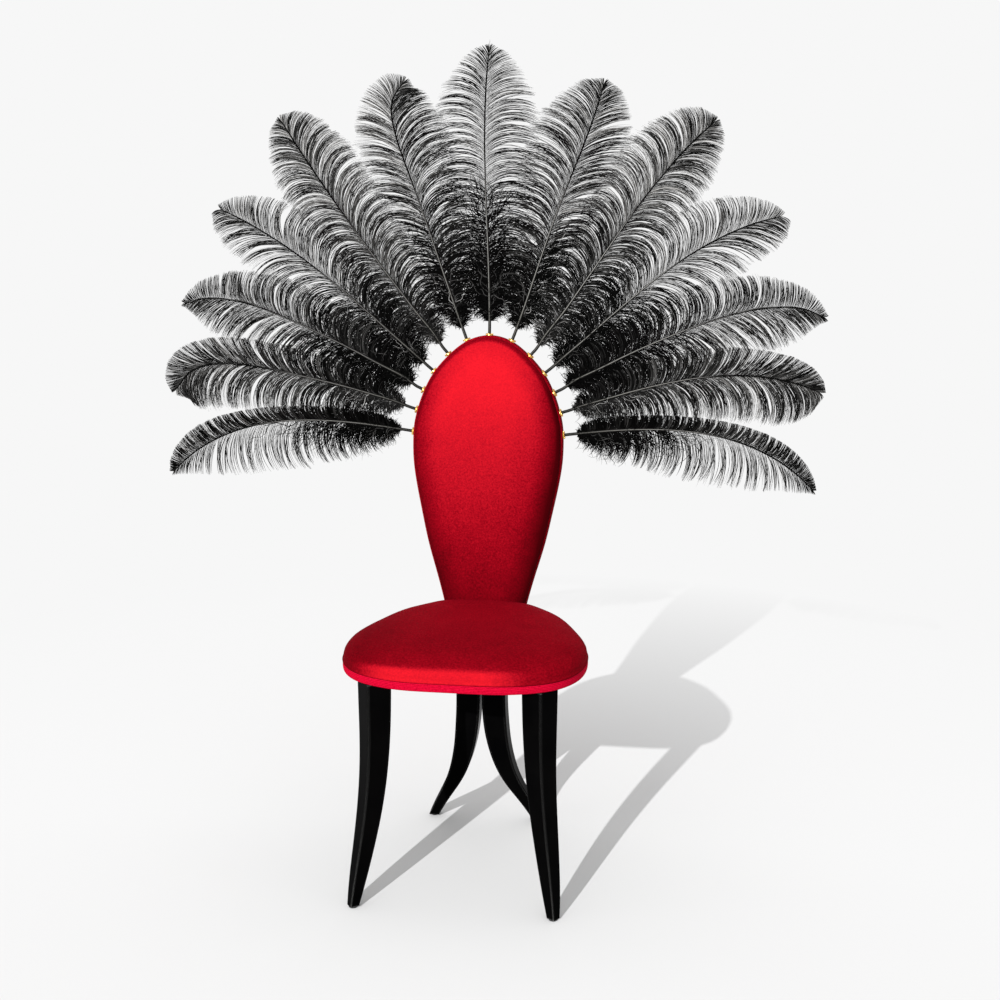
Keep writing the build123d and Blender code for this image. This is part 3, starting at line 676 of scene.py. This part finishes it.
# the knitted band round the edge of the board, with the rows of its knit raised
band_line = seat_outline(760)
rows = []
BAND_TOP = 433.8
profile_z = np.linspace(BAND_BOTTOM, BAND_TOP, 15)
for n, z in enumerate(profile_z):
    k = n / (len(profile_z) - 1)
    bulge = 1.1 * math.sin(math.pi * k) ** 0.6
    knit = 0.28 * np.cos(2 * np.pi * (np.arange(760) / 4 + (n % 2) / 2)) * (0.0 if n in (0, 14) else 1.0)
    p = SEAT_CENTRE + (band_line - SEAT_CENTRE) * (1 - (4.0 - bulge - knit)[:, None] / 225)
    rows.append(np.column_stack([p, np.full(len(p), z)]) / 1000)
for z, inset in ((BAND_TOP, 6.2), (BAND_BOTTOM + 0.3, 6.2)):
    p = SEAT_CENTRE + (band_line - SEAT_CENTRE) * (1 - inset / 225)
    rows.append(np.column_stack([p, np.full(len(p), z)]) / 1000)
band = ring_solid("seat_band_knit", rows, close_rows=True, slots=[BAND])
cut(band, cutter)
put(band, "chair", ["seat_band"])

# the edge of the seat's velvet, turned down over the top of the band; it lies on the cushion, so it takes its shape from it
edge_line = seat_outline(440)


def cushion_inset(z):
    """How far in from the outline, in millimetres, the cushion's side is at the height z, all the way round."""
    found = []
    for p in edge_line:
        start = SEAT_CENTRE + (p - SEAT_CENTRE) * 1.15
        aim = Vector((*(SEAT_CENTRE - p), 0)).normalized()
        hit = whole_tree.ray_cast(Vector((start[0] / 1000, start[1] / 1000, z / 1000)), aim)[0]
        share = 0.0 if hit is None else np.linalg.norm(np.array(hit[:2]) * 1000 - SEAT_CENTRE) / np.linalg.norm(p - SEAT_CENTRE)
        found.append((1 - share) * 225)
    found = np.array(found)
    return sum(np.roll(found, k) for k in (-2, -1, 0, 1, 2)) / 5


side_at = {z: cushion_inset(z) for z in (443.0, 445.0, 447.0, 449.0, 451.0, 453.0)}
first = side_at[443.0]
rows = []
for z, inset in (
    (434.0, 6.2), (433.7, 3.8), (434.1, 2.7), (435.2, 2.1), (437.0, 0.5 * 1.7 + 0.5 * first), (439.0, 0.25 * 1.5 + 0.75 * first - 0.1),
    (441.0, first - 0.2), (443.0, first - 0.2), (445.0, side_at[445.0] - 0.16), (447.0, side_at[447.0] - 0.10), (449.0, side_at[449.0] - 0.03),
    (451.0, side_at[451.0] + 0.06), (453.0, side_at[453.0] + 0.3), (452.0, side_at[453.0] + 2.4), (446.0, side_at[447.0] + 3.5), (441.6, 7.0), (438.5, 7.4), (438.3, 6.2),
):
    p = SEAT_CENTRE + (edge_line - SEAT_CENTRE) * (1 - np.broadcast_to(inset, len(edge_line))[:, None] / 225)
    rows.append(np.column_stack([p, np.full(len(p), z)]) / 1000)
seat_edge = ring_solid("seat_cover_edge", rows, close_rows=True, slots=[RED_VELVET])
cut(seat_edge, cutter)
float_attribute(seat_edge, "nap", seat_painted_light(seat_edge))
put(seat_edge, "chair")
bpy.data.objects.remove(cutter)

# ---------------------------------------------------------------- back
def back_outline(count):
    """Round the outline of the back: up the right side, over the top and down the left, with the foot closed straight across."""
    half = np.array(BACK_HALF, float)
    left = half[:-1][::-1] * (-1, 1)
    side = even(cubic(np.vstack([half, left]), samples=1600), count, closed=False)
    foot = np.linspace(side[-1], side[0], 26)[1:-1]
    return np.vstack([side, foot])


def middle_of(p):
    """The nearest point of the line up the middle of the back."""
    v = 55 + 325 * (1 - np.exp(-np.maximum(p[:, 1] - 20, 0) / 325 * 1.15))
    return np.column_stack([np.zeros(len(p)), np.clip(v, 55, 372)])


def back_ring(outline, k, w):
    c = middle_of(outline)
    p = c + (outline - c) * k
    return back_point(np.column_stack([p, np.full(len(p), w) if np.isscalar(w) else w]))


def pad(name, outline, heights, sign):
    """A crowned pad on the back. heights gives (inset, height in w) from its edge inwards."""
    c = middle_of(outline)
    reach = np.linalg.norm(outline - c, axis=1)
    rings = []
    for inset, w in heights:
        k = 1 - inset / reach
        rings.append(back_ring(outline, k[:, None], w))
    last_inset, last_w = heights[-1]
    for share in (0.8, 0.6, 0.4, 0.2, 0.04):
        k = (1 - last_inset / reach) * share
        rings.append(back_ring(outline, k[:, None], last_w + (1 - share) * 1.2 * sign))
    return ring_solid(name, rings if sign > 0 else rings[::-1])


line = back_outline(300)
SH = 1.0
front_heights = [(1.2 + SH, 11.3), (0.3 + SH, 13.0), (0.1 + SH, 16.0 - SH), (0.9 + SH, 20.0 - SH), (2.6 + SH, 23.4 - SH), (5.2 + SH, 26.0 - SH),
                 (9.0 + SH, 28.2 - SH), (14.0, 29.8 - SH), (21.0, 31.0 - SH), (31.0, 32.0 - SH), (44.0, 32.9 - SH), (58.0, 33.4 - SH)]
front_pad = pad("back_front_pad", line, front_heights, 1)
remeshed(front_pad, 0.0042)


def along_w(co):
    return (co * 1000 - BACK_ORIGIN) @ BACK_W


puffed(front_pad, 0.0038, lambda co: smooth_step(14.0, 11.6, along_w(co)))
relaxed(front_pad, 5)
m = front_pad.modifiers.new("smooth", "SUBSURF")
m.levels = m.render_levels = 1
applied(front_pad)
front_pad.data.polygons.foreach_set("use_smooth", np.full(len(front_pad.data.polygons), True))
front_pad.data.materials.clear()
front_pad.data.materials.append(RED_VELVET)


def edge_distance(p, outline):
    out = np.zeros(len(p))
    for i in range(0, len(p), 4000):
        d = np.linalg.norm(p[i:i + 4000, None, :] - outline[None], axis=2)
        out[i:i + 4000] = d.min(1)
    return out


# Painted light and shade on the back's front pad: lighter towards the top, painted shade along the rim and down the
# sides, and darker on the right side at middle height.
def back_painted_light(co):
    q = co * 1000 - BACK_ORIGIN
    u, v = q @ BACK_U, q @ BACK_V
    d = edge_distance(np.column_stack([u, v]), line[:300])
    height = np.interp(v, [0, 60, 140, 240, 330, 430, 500, 540], [0.15, 0.21, 0.32, 0.48, 0.62, 0.88, 0.95, 0.93])
    side = 1 - 0.62 * (1 - smooth_step(4, 58, d)) * (1 - 0.65 * smooth_step(400, 520, v))
    floor = 0.62 - 0.28 * smooth_step(340, 450, v)
    rim_shade = floor + (1 - floor) * smooth_step(7, 14, d)
    right_side_shade = -0.16 * smooth_step(20, 125, u) * smooth_step(500, 380, v) * smooth_step(0, 200, v)
    return height * side * rim_shade + right_side_shade


float_attribute(front_pad, "nap", back_painted_light(coordinates(front_pad)))
put(front_pad, "chair", ["back_cover", "back_foam"])

# the rear pad, thinner and flatter
rear_heights = [(1.0, -19.9), (0.4, -21.2), (1.4, -22.8), (4.0, -24.2), (9.0, -25.4), (18.0, -26.6), (34.0, -27.6), (55.0, -28.2)]
rear_pad = pad("back_rear_pad", line, rear_heights, -1)
remeshed(rear_pad, 0.0042)
relaxed(rear_pad, 5)
m = rear_pad.modifiers.new("smooth", "SUBSURF")
m.levels = m.render_levels = 1
applied(rear_pad)
rear_pad.data.polygons.foreach_set("use_smooth", np.full(len(rear_pad.data.polygons), True))
rear_pad.data.materials.clear()
rear_pad.data.materials.append(RED_VELVET)
# painted light and shade on the rear pad: lighter towards the top, painted shade along its rim
q = coordinates(rear_pad) * 1000 - BACK_ORIGIN
float_attribute(rear_pad, "nap", 0.35 + 0.25 * smooth_step(0, 500, q @ BACK_V) - 0.15 * smooth_step(14, 3, edge_distance(np.column_stack([q @ BACK_U, q @ BACK_V]), line[:300])))
put(rear_pad, "chair", ["back_rear_cover", "back_wadding"])

# the velvet boxing strip between the two pads, slightly full between its two seams
strip_line = back_outline(420)
tangent = np.roll(strip_line, -1, axis=0) - np.roll(strip_line, 1, axis=0)
outward = np.column_stack([tangent[:, 1], -tangent[:, 0]])
outward /= np.linalg.norm(outward, axis=1, keepdims=True)
rows = []
for w, off in [(-19.8, -6.5), (-20.4, -6.5), (-20.5, -1.6), (-19.9, -0.6), (-18.4, -0.05), (-15.5, 0.25), (-10.0, 0.45), (-4.0, 0.5), (2.0, 0.4), (7.0, 0.2), (9.8, -0.1), (11.05, -0.7), (11.7, -1.6), (11.8, -6.5), (11.1, -6.5)]:
    rows.append(back_point(np.column_stack([strip_line + outward * off, np.full(len(strip_line), w)])))
boxing = ring_solid("back_boxing", rows, close_rows=True, slots=[RED_VELVET])
# painted light on the boxing strip: lighter towards the top and on the left, the side the key light comes from
q = coordinates(boxing) * 1000 - BACK_ORIGIN
float_attribute(boxing, "nap", 0.20 + 0.14 * smooth_step(100, 520, q @ BACK_V) + 0.12 * smooth_step(20, -100, q @ BACK_U))
put(boxing, "chair", ["back_border"])

# ---------------------------------------------------------------- a beaded ring round the mouth of each socket
def ball(radius, rings=6, around=8):
    a = np.linspace(0, math.pi, rings + 1)[1:-1]
    b = np.linspace(0, 2 * math.pi, around, endpoint=False)
    v = [np.column_stack([np.sin(t) * np.cos(b), np.sin(t) * np.sin(b), np.full(around, math.cos(t))]) for t in a]
    v = np.vstack(v + [np.array([[0, 0, 1.0], [0, 0, -1.0]])]) * radius
    quads = grid_faces(rings - 1, around)[:, ::-1]
    i, j = np.arange(around), np.roll(np.arange(around), -1)
    n = (rings - 1) * around
    tris = np.vstack([np.stack([i, j, np.full(around, n)], -1), np.stack([j + (rings - 2) * around, i + (rings - 2) * around, np.full(around, n + 1)], -1)])
    return v, quads, tris


bead_v, bead_q, bead_t = ball(1.35)
V, Qs, Ts, count = [], [], [], 0
for key in SOCKETS:
    su, sv, sa = SOCKETS[key]
    d = np.array([math.cos(math.radians(sa)), math.sin(math.radians(sa)), 0.0])
    side = np.array([-d[1], d[0], 0.0])
    for n in range(14):
        a = 2 * math.pi * n / 14
        c = np.array([su, sv, 0]) + d * 2.75 + (side * math.cos(a) + np.array([0, 0, 1.0]) * math.sin(a)) * 6.5
        V.append(back_point(bead_v + c))
        Qs.append(bead_q + count)
        Ts.append(bead_t + count)
        count += len(bead_v)
beads = mesh_object("socket_beads", np.vstack(V), [np.vstack(Qs), np.vstack(Ts)], slots=[BRASS])
put(beads, "chair")

# ---------------------------------------------------------------- plumes
def rachis_line(key):
    """The rachis as an evenly spaced line in (u, v, w), with its running length."""
    u, v, a = SOCKETS[key]
    du, dv = math.cos(math.radians(a)), math.sin(math.radians(a))
    flat = np.array([(u + du * s, v + dv * s) for s in (10, 22)] + RACHIS[key])
    run = np.concatenate([[0], np.cumsum(np.hypot(*np.diff(flat, axis=0).T))])
    w = NOD[key] * np.maximum((run - 40) / (run[-1] - 40), 0) ** 2
    pts = np.column_stack([flat, w])
    last = pts[-1] - pts[-2]
    line = even(cubic(pts, start=(du, dv, 0), end=last / np.linalg.norm(last), samples=900), 700, closed=False)
    s = np.concatenate([[0], np.cumsum(np.linalg.norm(np.diff(line, axis=0), axis=1))])
    return line, s


class Rachis:
    def __init__(self, key):
        self.line, self.s = rachis_line(key)
        self.length = self.s[-1]
        d = np.gradient(self.line[:, :2], self.s, axis=0)
        self.t = d / np.linalg.norm(d, axis=1, keepdims=True)

    def at(self, s):
        """Point, direction at running length s; beyond the tip it runs straight on."""
        k = np.clip(s, 0, self.length)
        p = np.stack([np.interp(k, self.s, self.line[:, j]) for j in range(3)], -1)
        t = np.stack([np.interp(k, self.s, self.t[:, j]) for j in range(2)], -1)
        t /= np.linalg.norm(t, axis=-1, keepdims=True)
        p[..., :2] += t * (s - k)[..., None]
        return p, t

    def half_width(self, s, column):
        w = np.interp(s / self.length, VANE[:, 0], VANE[:, column])
        return w * np.clip(1 - (s - self.length) / 24, 0.05, 1)


def strands(paths, widths, normal, flat=0.55):
    """Closed three-sided tapering strands. paths (strands, stations, 3) in mm in the back's plane, widths (strands, stations)."""
    m, s, _ = paths.shape
    t = np.gradient(paths, axis=1)
    t /= np.maximum(np.linalg.norm(t, axis=2, keepdims=True), 1e-9)
    b = np.cross(t, normal)
    b /= np.maximum(np.linalg.norm(b, axis=2, keepdims=True), 1e-9)
    n = np.cross(b, t)
    h = widths[..., None] / 2
    ring = np.stack([paths + b * h - n * h * flat * 0.6, paths - b * h - n * h * flat * 0.6, paths + n * h * flat * 1.2], 2)
    i = np.arange(m * s * 3).reshape(m, s, 3)
    quads = [np.stack([i[:, :-1, j], i[:, :-1, (j + 1) % 3], i[:, 1:, (j + 1) % 3], i[:, 1:, j]], -1) for j in range(3)]
    quads = np.stack(quads, 2).reshape(m, -1, 4)
    tris = np.stack([i[:, 0, ::-1], i[:, -1]], 1)
    return ring.reshape(-1, 3), quads, tris


def bezier(p0, p1, p2, p3, x):
    x = x[None, :, None]
    return (1 - x) ** 3 * p0[:, None] + 3 * (1 - x) ** 2 * x * p1[:, None] + 3 * (1 - x) * x**2 * p2[:, None] + x**3 * p3[:, None]


def clumps(roots, rng, low, high):
    """For each root along the rachis, the middle and number of the lock of barbs it belongs to."""
    edges = [roots[0]]
    while edges[-1] < roots[-1]:
        edges.append(edges[-1] + rng.uniform(low, high))
    edges = np.array(edges)
    which = np.clip(np.searchsorted(edges, roots, side="right") - 1, 0, len(edges) - 2)
    return (edges[which] + edges[which + 1]) / 2, which, len(edges)


# Half-widths of each side of a plume, at shares of the rachis's length, and the angles from the rachis at which its
# barbs leave, run and end. "in" is the side towards the centre plume, "out" the side away from it.
SHARES = (0.05, 0.08, 0.12, 0.20, 0.30, 0.45, 0.60, 0.75, 0.80, 0.85, 0.92, 0.97, 1.0)
OUTLINE = {
    "c": (16, 34, 46, 60, 76, 94, 102, 102, 98, 88, 68, 49, 34),
    "1in": (14, 32, 44, 58, 72, 90, 102, 102, 98, 88, 70, 53, 38),
    "1out": (14, 30, 42, 54, 66, 76, 82, 82, 80, 76, 64, 48, 34),
    "2in": (14, 30, 44, 60, 72, 84, 91, 90, 87, 81, 68, 52, 36),
    "2out": (14, 30, 44, 60, 70, 80, 85, 84, 81, 75, 61, 45, 30),
    "3in": (14, 30, 44, 58, 68, 76, 80, 76, 71, 64, 49, 33, 18),
    "3out": (14, 30, 44, 62, 76, 86, 88, 86, 82, 77, 66, 55, 44),
    "4in": (14, 30, 42, 56, 66, 73, 75, 64, 58, 50, 36, 21, 9),
    "4out": (14, 30, 44, 60, 72, 82, 86, 85, 82, 76, 58, 34, 14),
    "5in": (14, 24, 32, 42, 50, 55, 54, 50, 48, 46, 40, 31, 20),
    "5out": (14, 28, 40, 54, 68, 82, 90, 92, 90, 86, 75, 61, 46),
    "6in": (14, 24, 28, 29, 30, 31, 35, 38, 37, 34, 26, 16, 7),
    "6out": (14, 30, 42, 60, 80, 96, 98, 82, 74, 64, 42, 24, 9),
}
ANGLES = {
    "c": [(0.05, 75, 110, 150), (0.2, 62, 102, 145), (0.4, 50, 96, 138), (0.65, 44, 88, 128), (0.8, 38, 70, 104), (0.9, 34, 56, 78), (0.965, 22, 42, 60), (1.0, 4, 10, 18)],
    "1in": [(0.05, 75, 105, 130), (0.2, 45, 85, 120), (0.5, 32, 76, 118), (0.75, 30, 72, 112), (0.87, 30, 60, 92), (0.96, 24, 48, 70), (1.0, 4, 12, 20)],
    "1out": [(0.05, 75, 95, 115), (0.2, 48, 72, 98), (0.5, 38, 56, 84), (0.8, 36, 50, 74), (0.9, 32, 48, 66), (0.96, 22, 42, 60), (1.0, 4, 12, 20)],
    "2in": [(0.05, 75, 100, 120), (0.25, 34, 66, 112), (0.5, 29, 56, 122), (0.8, 30, 52, 118), (0.9, 32, 54, 88), (0.96, 24, 46, 68), (1.0, 4, 12, 20)],
    "2out": [(0.05, 75, 100, 120), (0.25, 38, 76, 118), (0.5, 27, 64, 116), (0.8, 26, 56, 104), (0.9, 26, 46, 72), (0.96, 22, 42, 60), (1.0, 4, 12, 20)],
    "3in": [(0.05, 75, 95, 115), (0.25, 40, 64, 112), (0.6, 36, 54, 122), (0.8, 38, 58, 104), (0.92, 42, 56, 74), (1.0, 18, 28, 38)],
    "3out": [(0.05, 75, 100, 120), (0.25, 30, 74, 114), (0.5, 24, 56, 100), (0.7, 20, 44, 74), (0.9, 20, 38, 58), (1.0, 16, 42, 70)],
    "4in": [(0.05, 75, 95, 115), (0.2, 38, 78, 120), (0.5, 32, 76, 126), (0.72, 34, 78, 118), (0.8, 62, 88, 104), (0.92, 76, 92, 100), (1.0, 24, 36, 50)],
    "4out": [(0.05, 75, 95, 115), (0.2, 44, 78, 106), (0.5, 40, 62, 84), (0.75, 36, 54, 74), (0.9, 28, 36, 46), (1.0, 12, 20, 28)],
    "5in": [(0.05, 75, 95, 115), (0.2, 42, 82, 122), (0.45, 36, 62, 96), (0.7, 32, 46, 62), (0.9, 22, 34, 46), (1.0, 8, 18, 26)],
    "5out": [(0.05, 75, 95, 115), (0.25, 32, 72, 112), (0.55, 26, 64, 114), (0.85, 26, 62, 108), (0.97, 22, 56, 92), (1.0, 10, 30, 50)],
    "6in": [(0.05, 75, 90, 105), (0.25, 42, 74, 100), (0.6, 42, 70, 96), (0.75, 62, 88, 106), (0.92, 80, 98, 112), (1.0, 34, 50, 66)],
    "6out": [(0.05, 85, 110, 135), (0.2, 72, 98, 130), (0.38, 62, 90, 122), (0.62, 42, 80, 99), (0.78, 36, 56, 70), (0.92, 24, 34, 42), (1.0, 10, 16, 22)],
}
# how strongly each plume's barbs gather in locks, how many there are, and how pale they are
GATHER = {"c": 0.62, "1in": 0.55, "1out": 0.55, "2in": 0.35, "2out": 0.42, "3in": 0.45, "3out": 0.85, "4in": 0.55, "4out": 0.70, "5in": 0.40, "5out": 0.50, "6in": 0.50, "6out": 0.85}
THICK = {"c": 0.79, "1in": 1.08, "1out": 1.05, "2in": 1.32, "2out": 1.25, "3in": 0.82, "3out": 0.68, "4in": 1.15, "4out": 0.95, "5in": 1.5, "5out": 1.3, "6in": 1.75, "6out": 0.55}
PALE = {"2in": 0.15, "2out": 0.12, "5in": 0.04, "5out": 0.06, "3in": 0.06, "1in": 0.03, "1out": 0.08}
TILT = {"c": -10, "1in": 9, "2in": 10, "3in": 11, "4in": 14, "5in": 32, "6in": 50}
CRISP = {"3in": 0.6, "4in": 0.5, "5in": 1.0, "6in": 0.9, "2in": 0.3}


def bent(r, s, sign, kind, x, turn, size, over):
    """Barbs in the plane of the vane: where they leave, which way they run and how long they are follow the tables."""
    t = s / r.length
    table = np.array(ANGLES[kind], float)
    a0, a1, a2 = (np.interp(t, table[:, 0], table[:, j])[:, None] + turn[:, None] * f for j, f in ((1, 0.5), (2, 1.0), (3, 1.5)))
    mid = (x[1:] + x[:-1]) / 2
    a = np.radians((1 - mid) ** 2 * a0 + 2 * mid * (1 - mid) * a1 + mid**2 * a2)
    dx = np.diff(x)
    zero = np.zeros((len(s), 1))
    along = np.concatenate([zero, np.cumsum(np.cos(a) * dx, 1)], 1)
    out = np.concatenate([zero, np.cumsum(np.sin(a) * dx, 1)], 1)
    natural = np.interp(np.minimum(t, 0.80), SHARES, OUTLINE[kind]) * size
    length = natural / out.max(1)
    low, high = np.full(len(s), 0.02), np.ones(len(s))
    edge = lambda k: np.interp(k / r.length, SHARES, OUTLINE[kind]) * np.clip(1 - (k - r.length) / over, 0.0, 1) * size
    for _ in range(14):
        f = (low + high) / 2
        fits = out[:, -1] * length * f <= edge(s + along[:, -1] * length * f) * 1.02
        low, high = np.where(fits, f, low), np.where(fits, high, f)
    length = length * np.where(t > 0.6, low, 1.0)
    p, tan = r.at(s)
    side = np.stack([tan[:, 1], -tan[:, 0]], -1) * sign
    flat = p[:, None, :2] + (along * length[:, None])[..., None] * tan[:, None] + (out * length[:, None])[..., None] * side[:, None]
    return flat, out * length[:, None], p, side


def half_vane(key, half, rng, count, width, pull, lock, stations, first=0.055, ragged=1.0):
    """The barbs of one side of a plume, gathered in locks. Returns paths, widths, shades."""
    r = Rachis(key)
    inner = half == -1
    kind = "c" if key == "c" else key[1] + ("in" if inner else "out")
    sign = half * (-1 if key[0] == "l" else 1)
    crisp = CRISP.get(kind, 0.0)
    s = r.length * first + (np.arange(count) + rng.uniform(0.1, 0.9, count)) / count * (r.length * (1 - first) - 0.8)
    middle, which, locks = clumps(s, rng, *lock)
    t = s / r.length
    calm = 1 - smooth_step(0.80, 0.95, t)
    foot = smooth_step(0.30, 0.08, t)
    x = np.linspace(0, 1, stations)
    turn = rng.normal(0, 5.0, locks)[which] * calm * (1 - 0.5 * crisp)
    size = 1 + rng.normal(0, 0.035, locks)[which] * calm * (1 - 0.75 * crisp)
    own_size = size * (1 + (rng.uniform(-0.10, 0.04, count)) * ragged * (1 - 0.75 * crisp))
    over = 24.0 if kind == "3out" else 13.0
    own, off, p, side = bent(r, s, sign, kind, x, turn + rng.normal(0, 2.0, count) * ragged + 8 * foot * rng.normal(0, 1, count), own_size, over)
    gathered, _, _, _ = bent(r, np.clip(middle, s.min(), s.max()), sign, kind, x, turn, size, over)
    drawn = (rng.uniform(0.35, 0.95, locks) * pull * GATHER[kind])[which] * calm
    k = (drawn[:, None] * x**1.1)[..., None]
    flat = own * (1 - k) + gathered * k
    run = np.cumsum(np.linalg.norm(np.diff(flat, axis=1, prepend=flat[:, :1]), axis=2), 1)
    forward = np.gradient(flat, axis=1)
    across = unit(np.stack([-forward[..., 1], forward[..., 0]], -1))
    wave = np.sin(run / rng.uniform(9, 17, count)[:, None] + rng.uniform(0, 6.3, count)[:, None]) * (0.35 + 1.5 * foot[:, None])
    lock_wave = np.sin(run / rng.uniform(16, 30, locks)[which][:, None] + rng.uniform(0, 6.3, locks)[which][:, None]) * 1.0
    flat = flat + across * ((wave + lock_wave * calm[:, None]) * smooth_step(0, 0.35, x))[..., None]
    thin = np.interp(t, RACHIS_R[:, 0], RACHIS_R[:, 1])
    tilt = math.tan(math.radians(TILT.get(kind, -10)))
    lift = (rng.normal(0, 0.9, count) + rng.normal(0, 1.4, locks)[which])[:, None]
    w = (p[:, 2] - 0.75 * thin - 0.35)[:, None] + tilt * off + lift * smooth_step(0.08, 0.8, x) - 4.0 * x**3 * (1 - crisp)
    paths = np.concatenate([flat, w[..., None]], 2)
    low = smooth_step(0.64, 0.18, t)
    thick = width * (1 + 0.36 * low)[:, None] * rng.uniform(0.7, 1.3, count)[:, None] * np.interp(x, [0, 0.08, 0.25, 0.5, 0.8, 1], [0.42, 0.52, 0.78, 0.98, 0.72, 0.24 + 0.3 * crisp])
    mixed = 0.6 * rng.random(count) + 0.4 * rng.random(locks)[which] + PALE.get(kind, 0.0)
    mixed = mixed * (1 - 0.22 * low)
    # shades 3 and 4, grey and pale, are partly the barbs' own tone and partly painted highlights of lit barbs
    shade = np.where(mixed < 0.50, 0, np.where(mixed < 0.68, 1, np.where(mixed < 0.82, 2, np.where(mixed < 0.94, 3, 4))))
    return paths, thick, shade


def down_tuft(key, rng, count):
    """The soft, curling down at the foot of the vane, on both sides and in front and behind."""
    r = Rachis(key)
    full = DOWN["c" if key == "c" else key[1]]
    share = 0.034 + (0.22 + 0.28 * full) * (rng.random(count) * rng.random(count)) ** 1.15
    s = r.length * share
    p, tan = r.at(s)
    side = rng.choice([-1.0, 1.0], count)
    out = np.stack([tan[:, 1], -tan[:, 0]], -1) * side[:, None]
    start_share = smooth_step(0.12, 0.045, share)
    angle = np.radians(rng.uniform(22, 72, count) - 12 * start_share * rng.uniform(0, 1, count))[:, None]
    d = tan * np.cos(angle) + out * np.sin(angle)
    size = rng.uniform(20, 46, count) * np.interp(share, [0.034, 0.05, 0.07, 0.12, 0.2, 0.4], [0.30, 0.75, 1.1, 1.5, 1.8, 2.0]) * (0.82 + 0.25 * full)
    if key[-1] == "6" or key[-1] == "5":
        size = np.where(side * (1 if key[0] == "r" else -1) < 0, size * (0.62 if key[-1] == "6" else 0.8), size)
    stations = 9
    x = np.linspace(0, 1, stations)
    bend = rng.normal(0, 0.5, count) + 0.5 * side * np.where(rng.random(count) < 0.75, 1, -1)
    heading = np.arctan2(d[:, 1], d[:, 0])[:, None] - bend[:, None] * x * 1.6
    heading = heading + 0.55 * np.sin(x * rng.uniform(5, 13, count)[:, None] + rng.uniform(0, 6.3, count)[:, None])
    step = (size / (stations - 1))[:, None]
    u = p[:, 0:1] + np.concatenate([np.zeros((count, 1)), np.cumsum(np.cos(heading[:, :-1]) * step, 1)], 1)
    v = p[:, 1:2] + np.concatenate([np.zeros((count, 1)), np.cumsum(np.sin(heading[:, :-1]) * step, 1)], 1)
    w = p[:, 2:3] - 2.5 * (1 - x) + (rng.normal(-2.0, 6.0, count)[:, None] + 1.5 * np.sin(x * 9 + rng.uniform(0, 6.3, count)[:, None])) * x
    thick = rng.uniform(0.8, 1.8, count)[:, None] * np.interp(x, [0, 0.2, 0.7, 1], [0.7, 1.0, 0.8, 0.2])
    dark = rng.random(count)
    edge = 0.74 + 0.18 * full
    # the few grey and pale strands are partly the down's own tone and partly painted highlights of lit down
    shade = np.where(dark < edge, 0 if full > 0.6 else 1, np.where(dark < edge + 0.09, 2, np.where(dark < 0.985, 3, 4)))
    return np.stack([u, v, w], 2), thick, shade


def shaft_line(key):
    """The black ridge along the front of the rachis, from where the quill has grown thin to the tip."""
    r = Rachis(key)
    s = np.linspace(r.length * 0.30, r.length, 60)
    p, _ = r.at(s)
    p[:, 2] += np.interp(s / r.length, RACHIS_R[:, 0], RACHIS_R[:, 1]) * 0.55 + 0.1
    thick = np.interp(s / r.length, [0.30, 0.45, 0.65, 0.9, 1.0], [0.3, 1.7, 2.9, 3.0, 1.6])
    return p[None], thick[None], np.array([0])


def plume(key, number):
    rng = np.random.default_rng(4100 + number)
    full = DOWN["c" if key == "c" else key[1]]
    parts = []
    for half in (-1, 1):
        kind = "c" if key == "c" else key[1] + ("in" if half == -1 else "out")
        parts.append(half_vane(key, half, rng, int(380 * THICK[kind]), 1.15, 1.0, (5.0, 12.0), 10))
        parts.append(half_vane(key, half, rng, int(340 * THICK[kind]), 0.60, 0.6, (9.0, 20.0), 9, ragged=1.6))
    parts.append(down_tuft(key, rng, int(300 + 800 * full + (260 if key == "c" else 0))))
    parts.append(shaft_line(key))
    verts, quads, tris, qi, ti, n = [], [], [], [], [], 0
    for paths, thick, shade in parts:
        v, q, t = strands(paths, thick, np.array([0, 0, 1.0]))
        verts.append(v)
        quads.append(q.reshape(-1, 4) + n)
        tris.append(t.reshape(-1, 3) + n)
        qi.append(np.repeat(shade, q.shape[1]))
        ti.append(np.repeat(shade, 2))
        n += len(v)
    ob = mesh_object(
        long_name(key) + "_barbs", back_point(np.vstack(verts)), [np.vstack(quads), np.vstack(tris)],
        slots=BARB_SHADES, material_index=np.concatenate(qi + ti),
    )
    name = long_name(key)
    put(ob, name, [name + "_vane"])
    return ob


for number, key in enumerate(PLUMES):
    plume(key, number)

# ---------------------------------------------------------------- floor and light
floor = mesh_object("floor", [(-40, -40, 0), (40, -40, 0), (40, 40, 0), (-40, 40, 0)], [np.array([[0, 1, 2, 3]])])
f = Nodes("pale floor")
diffuse, glow, mixer = f.add("BsdfDiffuse"), f.add("Emission"), f.add("MixShader")
diffuse.inputs["Color"].default_value = (0.625, 0.625, 0.625, 1)
glow.inputs["Color"].default_value = (0.93, 0.93, 0.93, 1)
away = f.add("VectorMath", operation="LENGTH")
f.link(f.coords(), away.inputs[0])
f.link(f.ramp(f.math("DIVIDE", away.outputs["Value"], 4.0), [(0.12, (0, 0, 0)), (0.50, (1, 1, 1))]), mixer.inputs[0])
f.link(diffuse.outputs[0], mixer.inputs[1])
f.link(glow.outputs[0], mixer.inputs[2])
f.link(mixer.outputs[0], f.out.inputs["Surface"])
floor.data.materials.append(f.mat)

world = bpy.data.worlds.new("studio")
bpy.context.scene.world = world
world.use_nodes = True
world.node_tree.nodes["Background"].inputs["Color"].default_value = (0.93, 0.93, 0.93, 1)
world.node_tree.nodes["Background"].inputs["Strength"].default_value = 1.0

sun_data = bpy.data.lights.new("key", "SUN")
sun_data.energy = 4.5
sun_data.angle = math.radians(0.6)
sun = bpy.data.objects.new("key", sun_data)
bpy.context.scene.collection.objects.link(sun)
sun.rotation_euler = Vector((0.262, 0.863, -0.431)).to_track_quat("-Z", "Y").to_euler()

bpy.context.scene.view_settings.view_transform = "Standard"
bpy.context.scene.view_settings.look = "None"
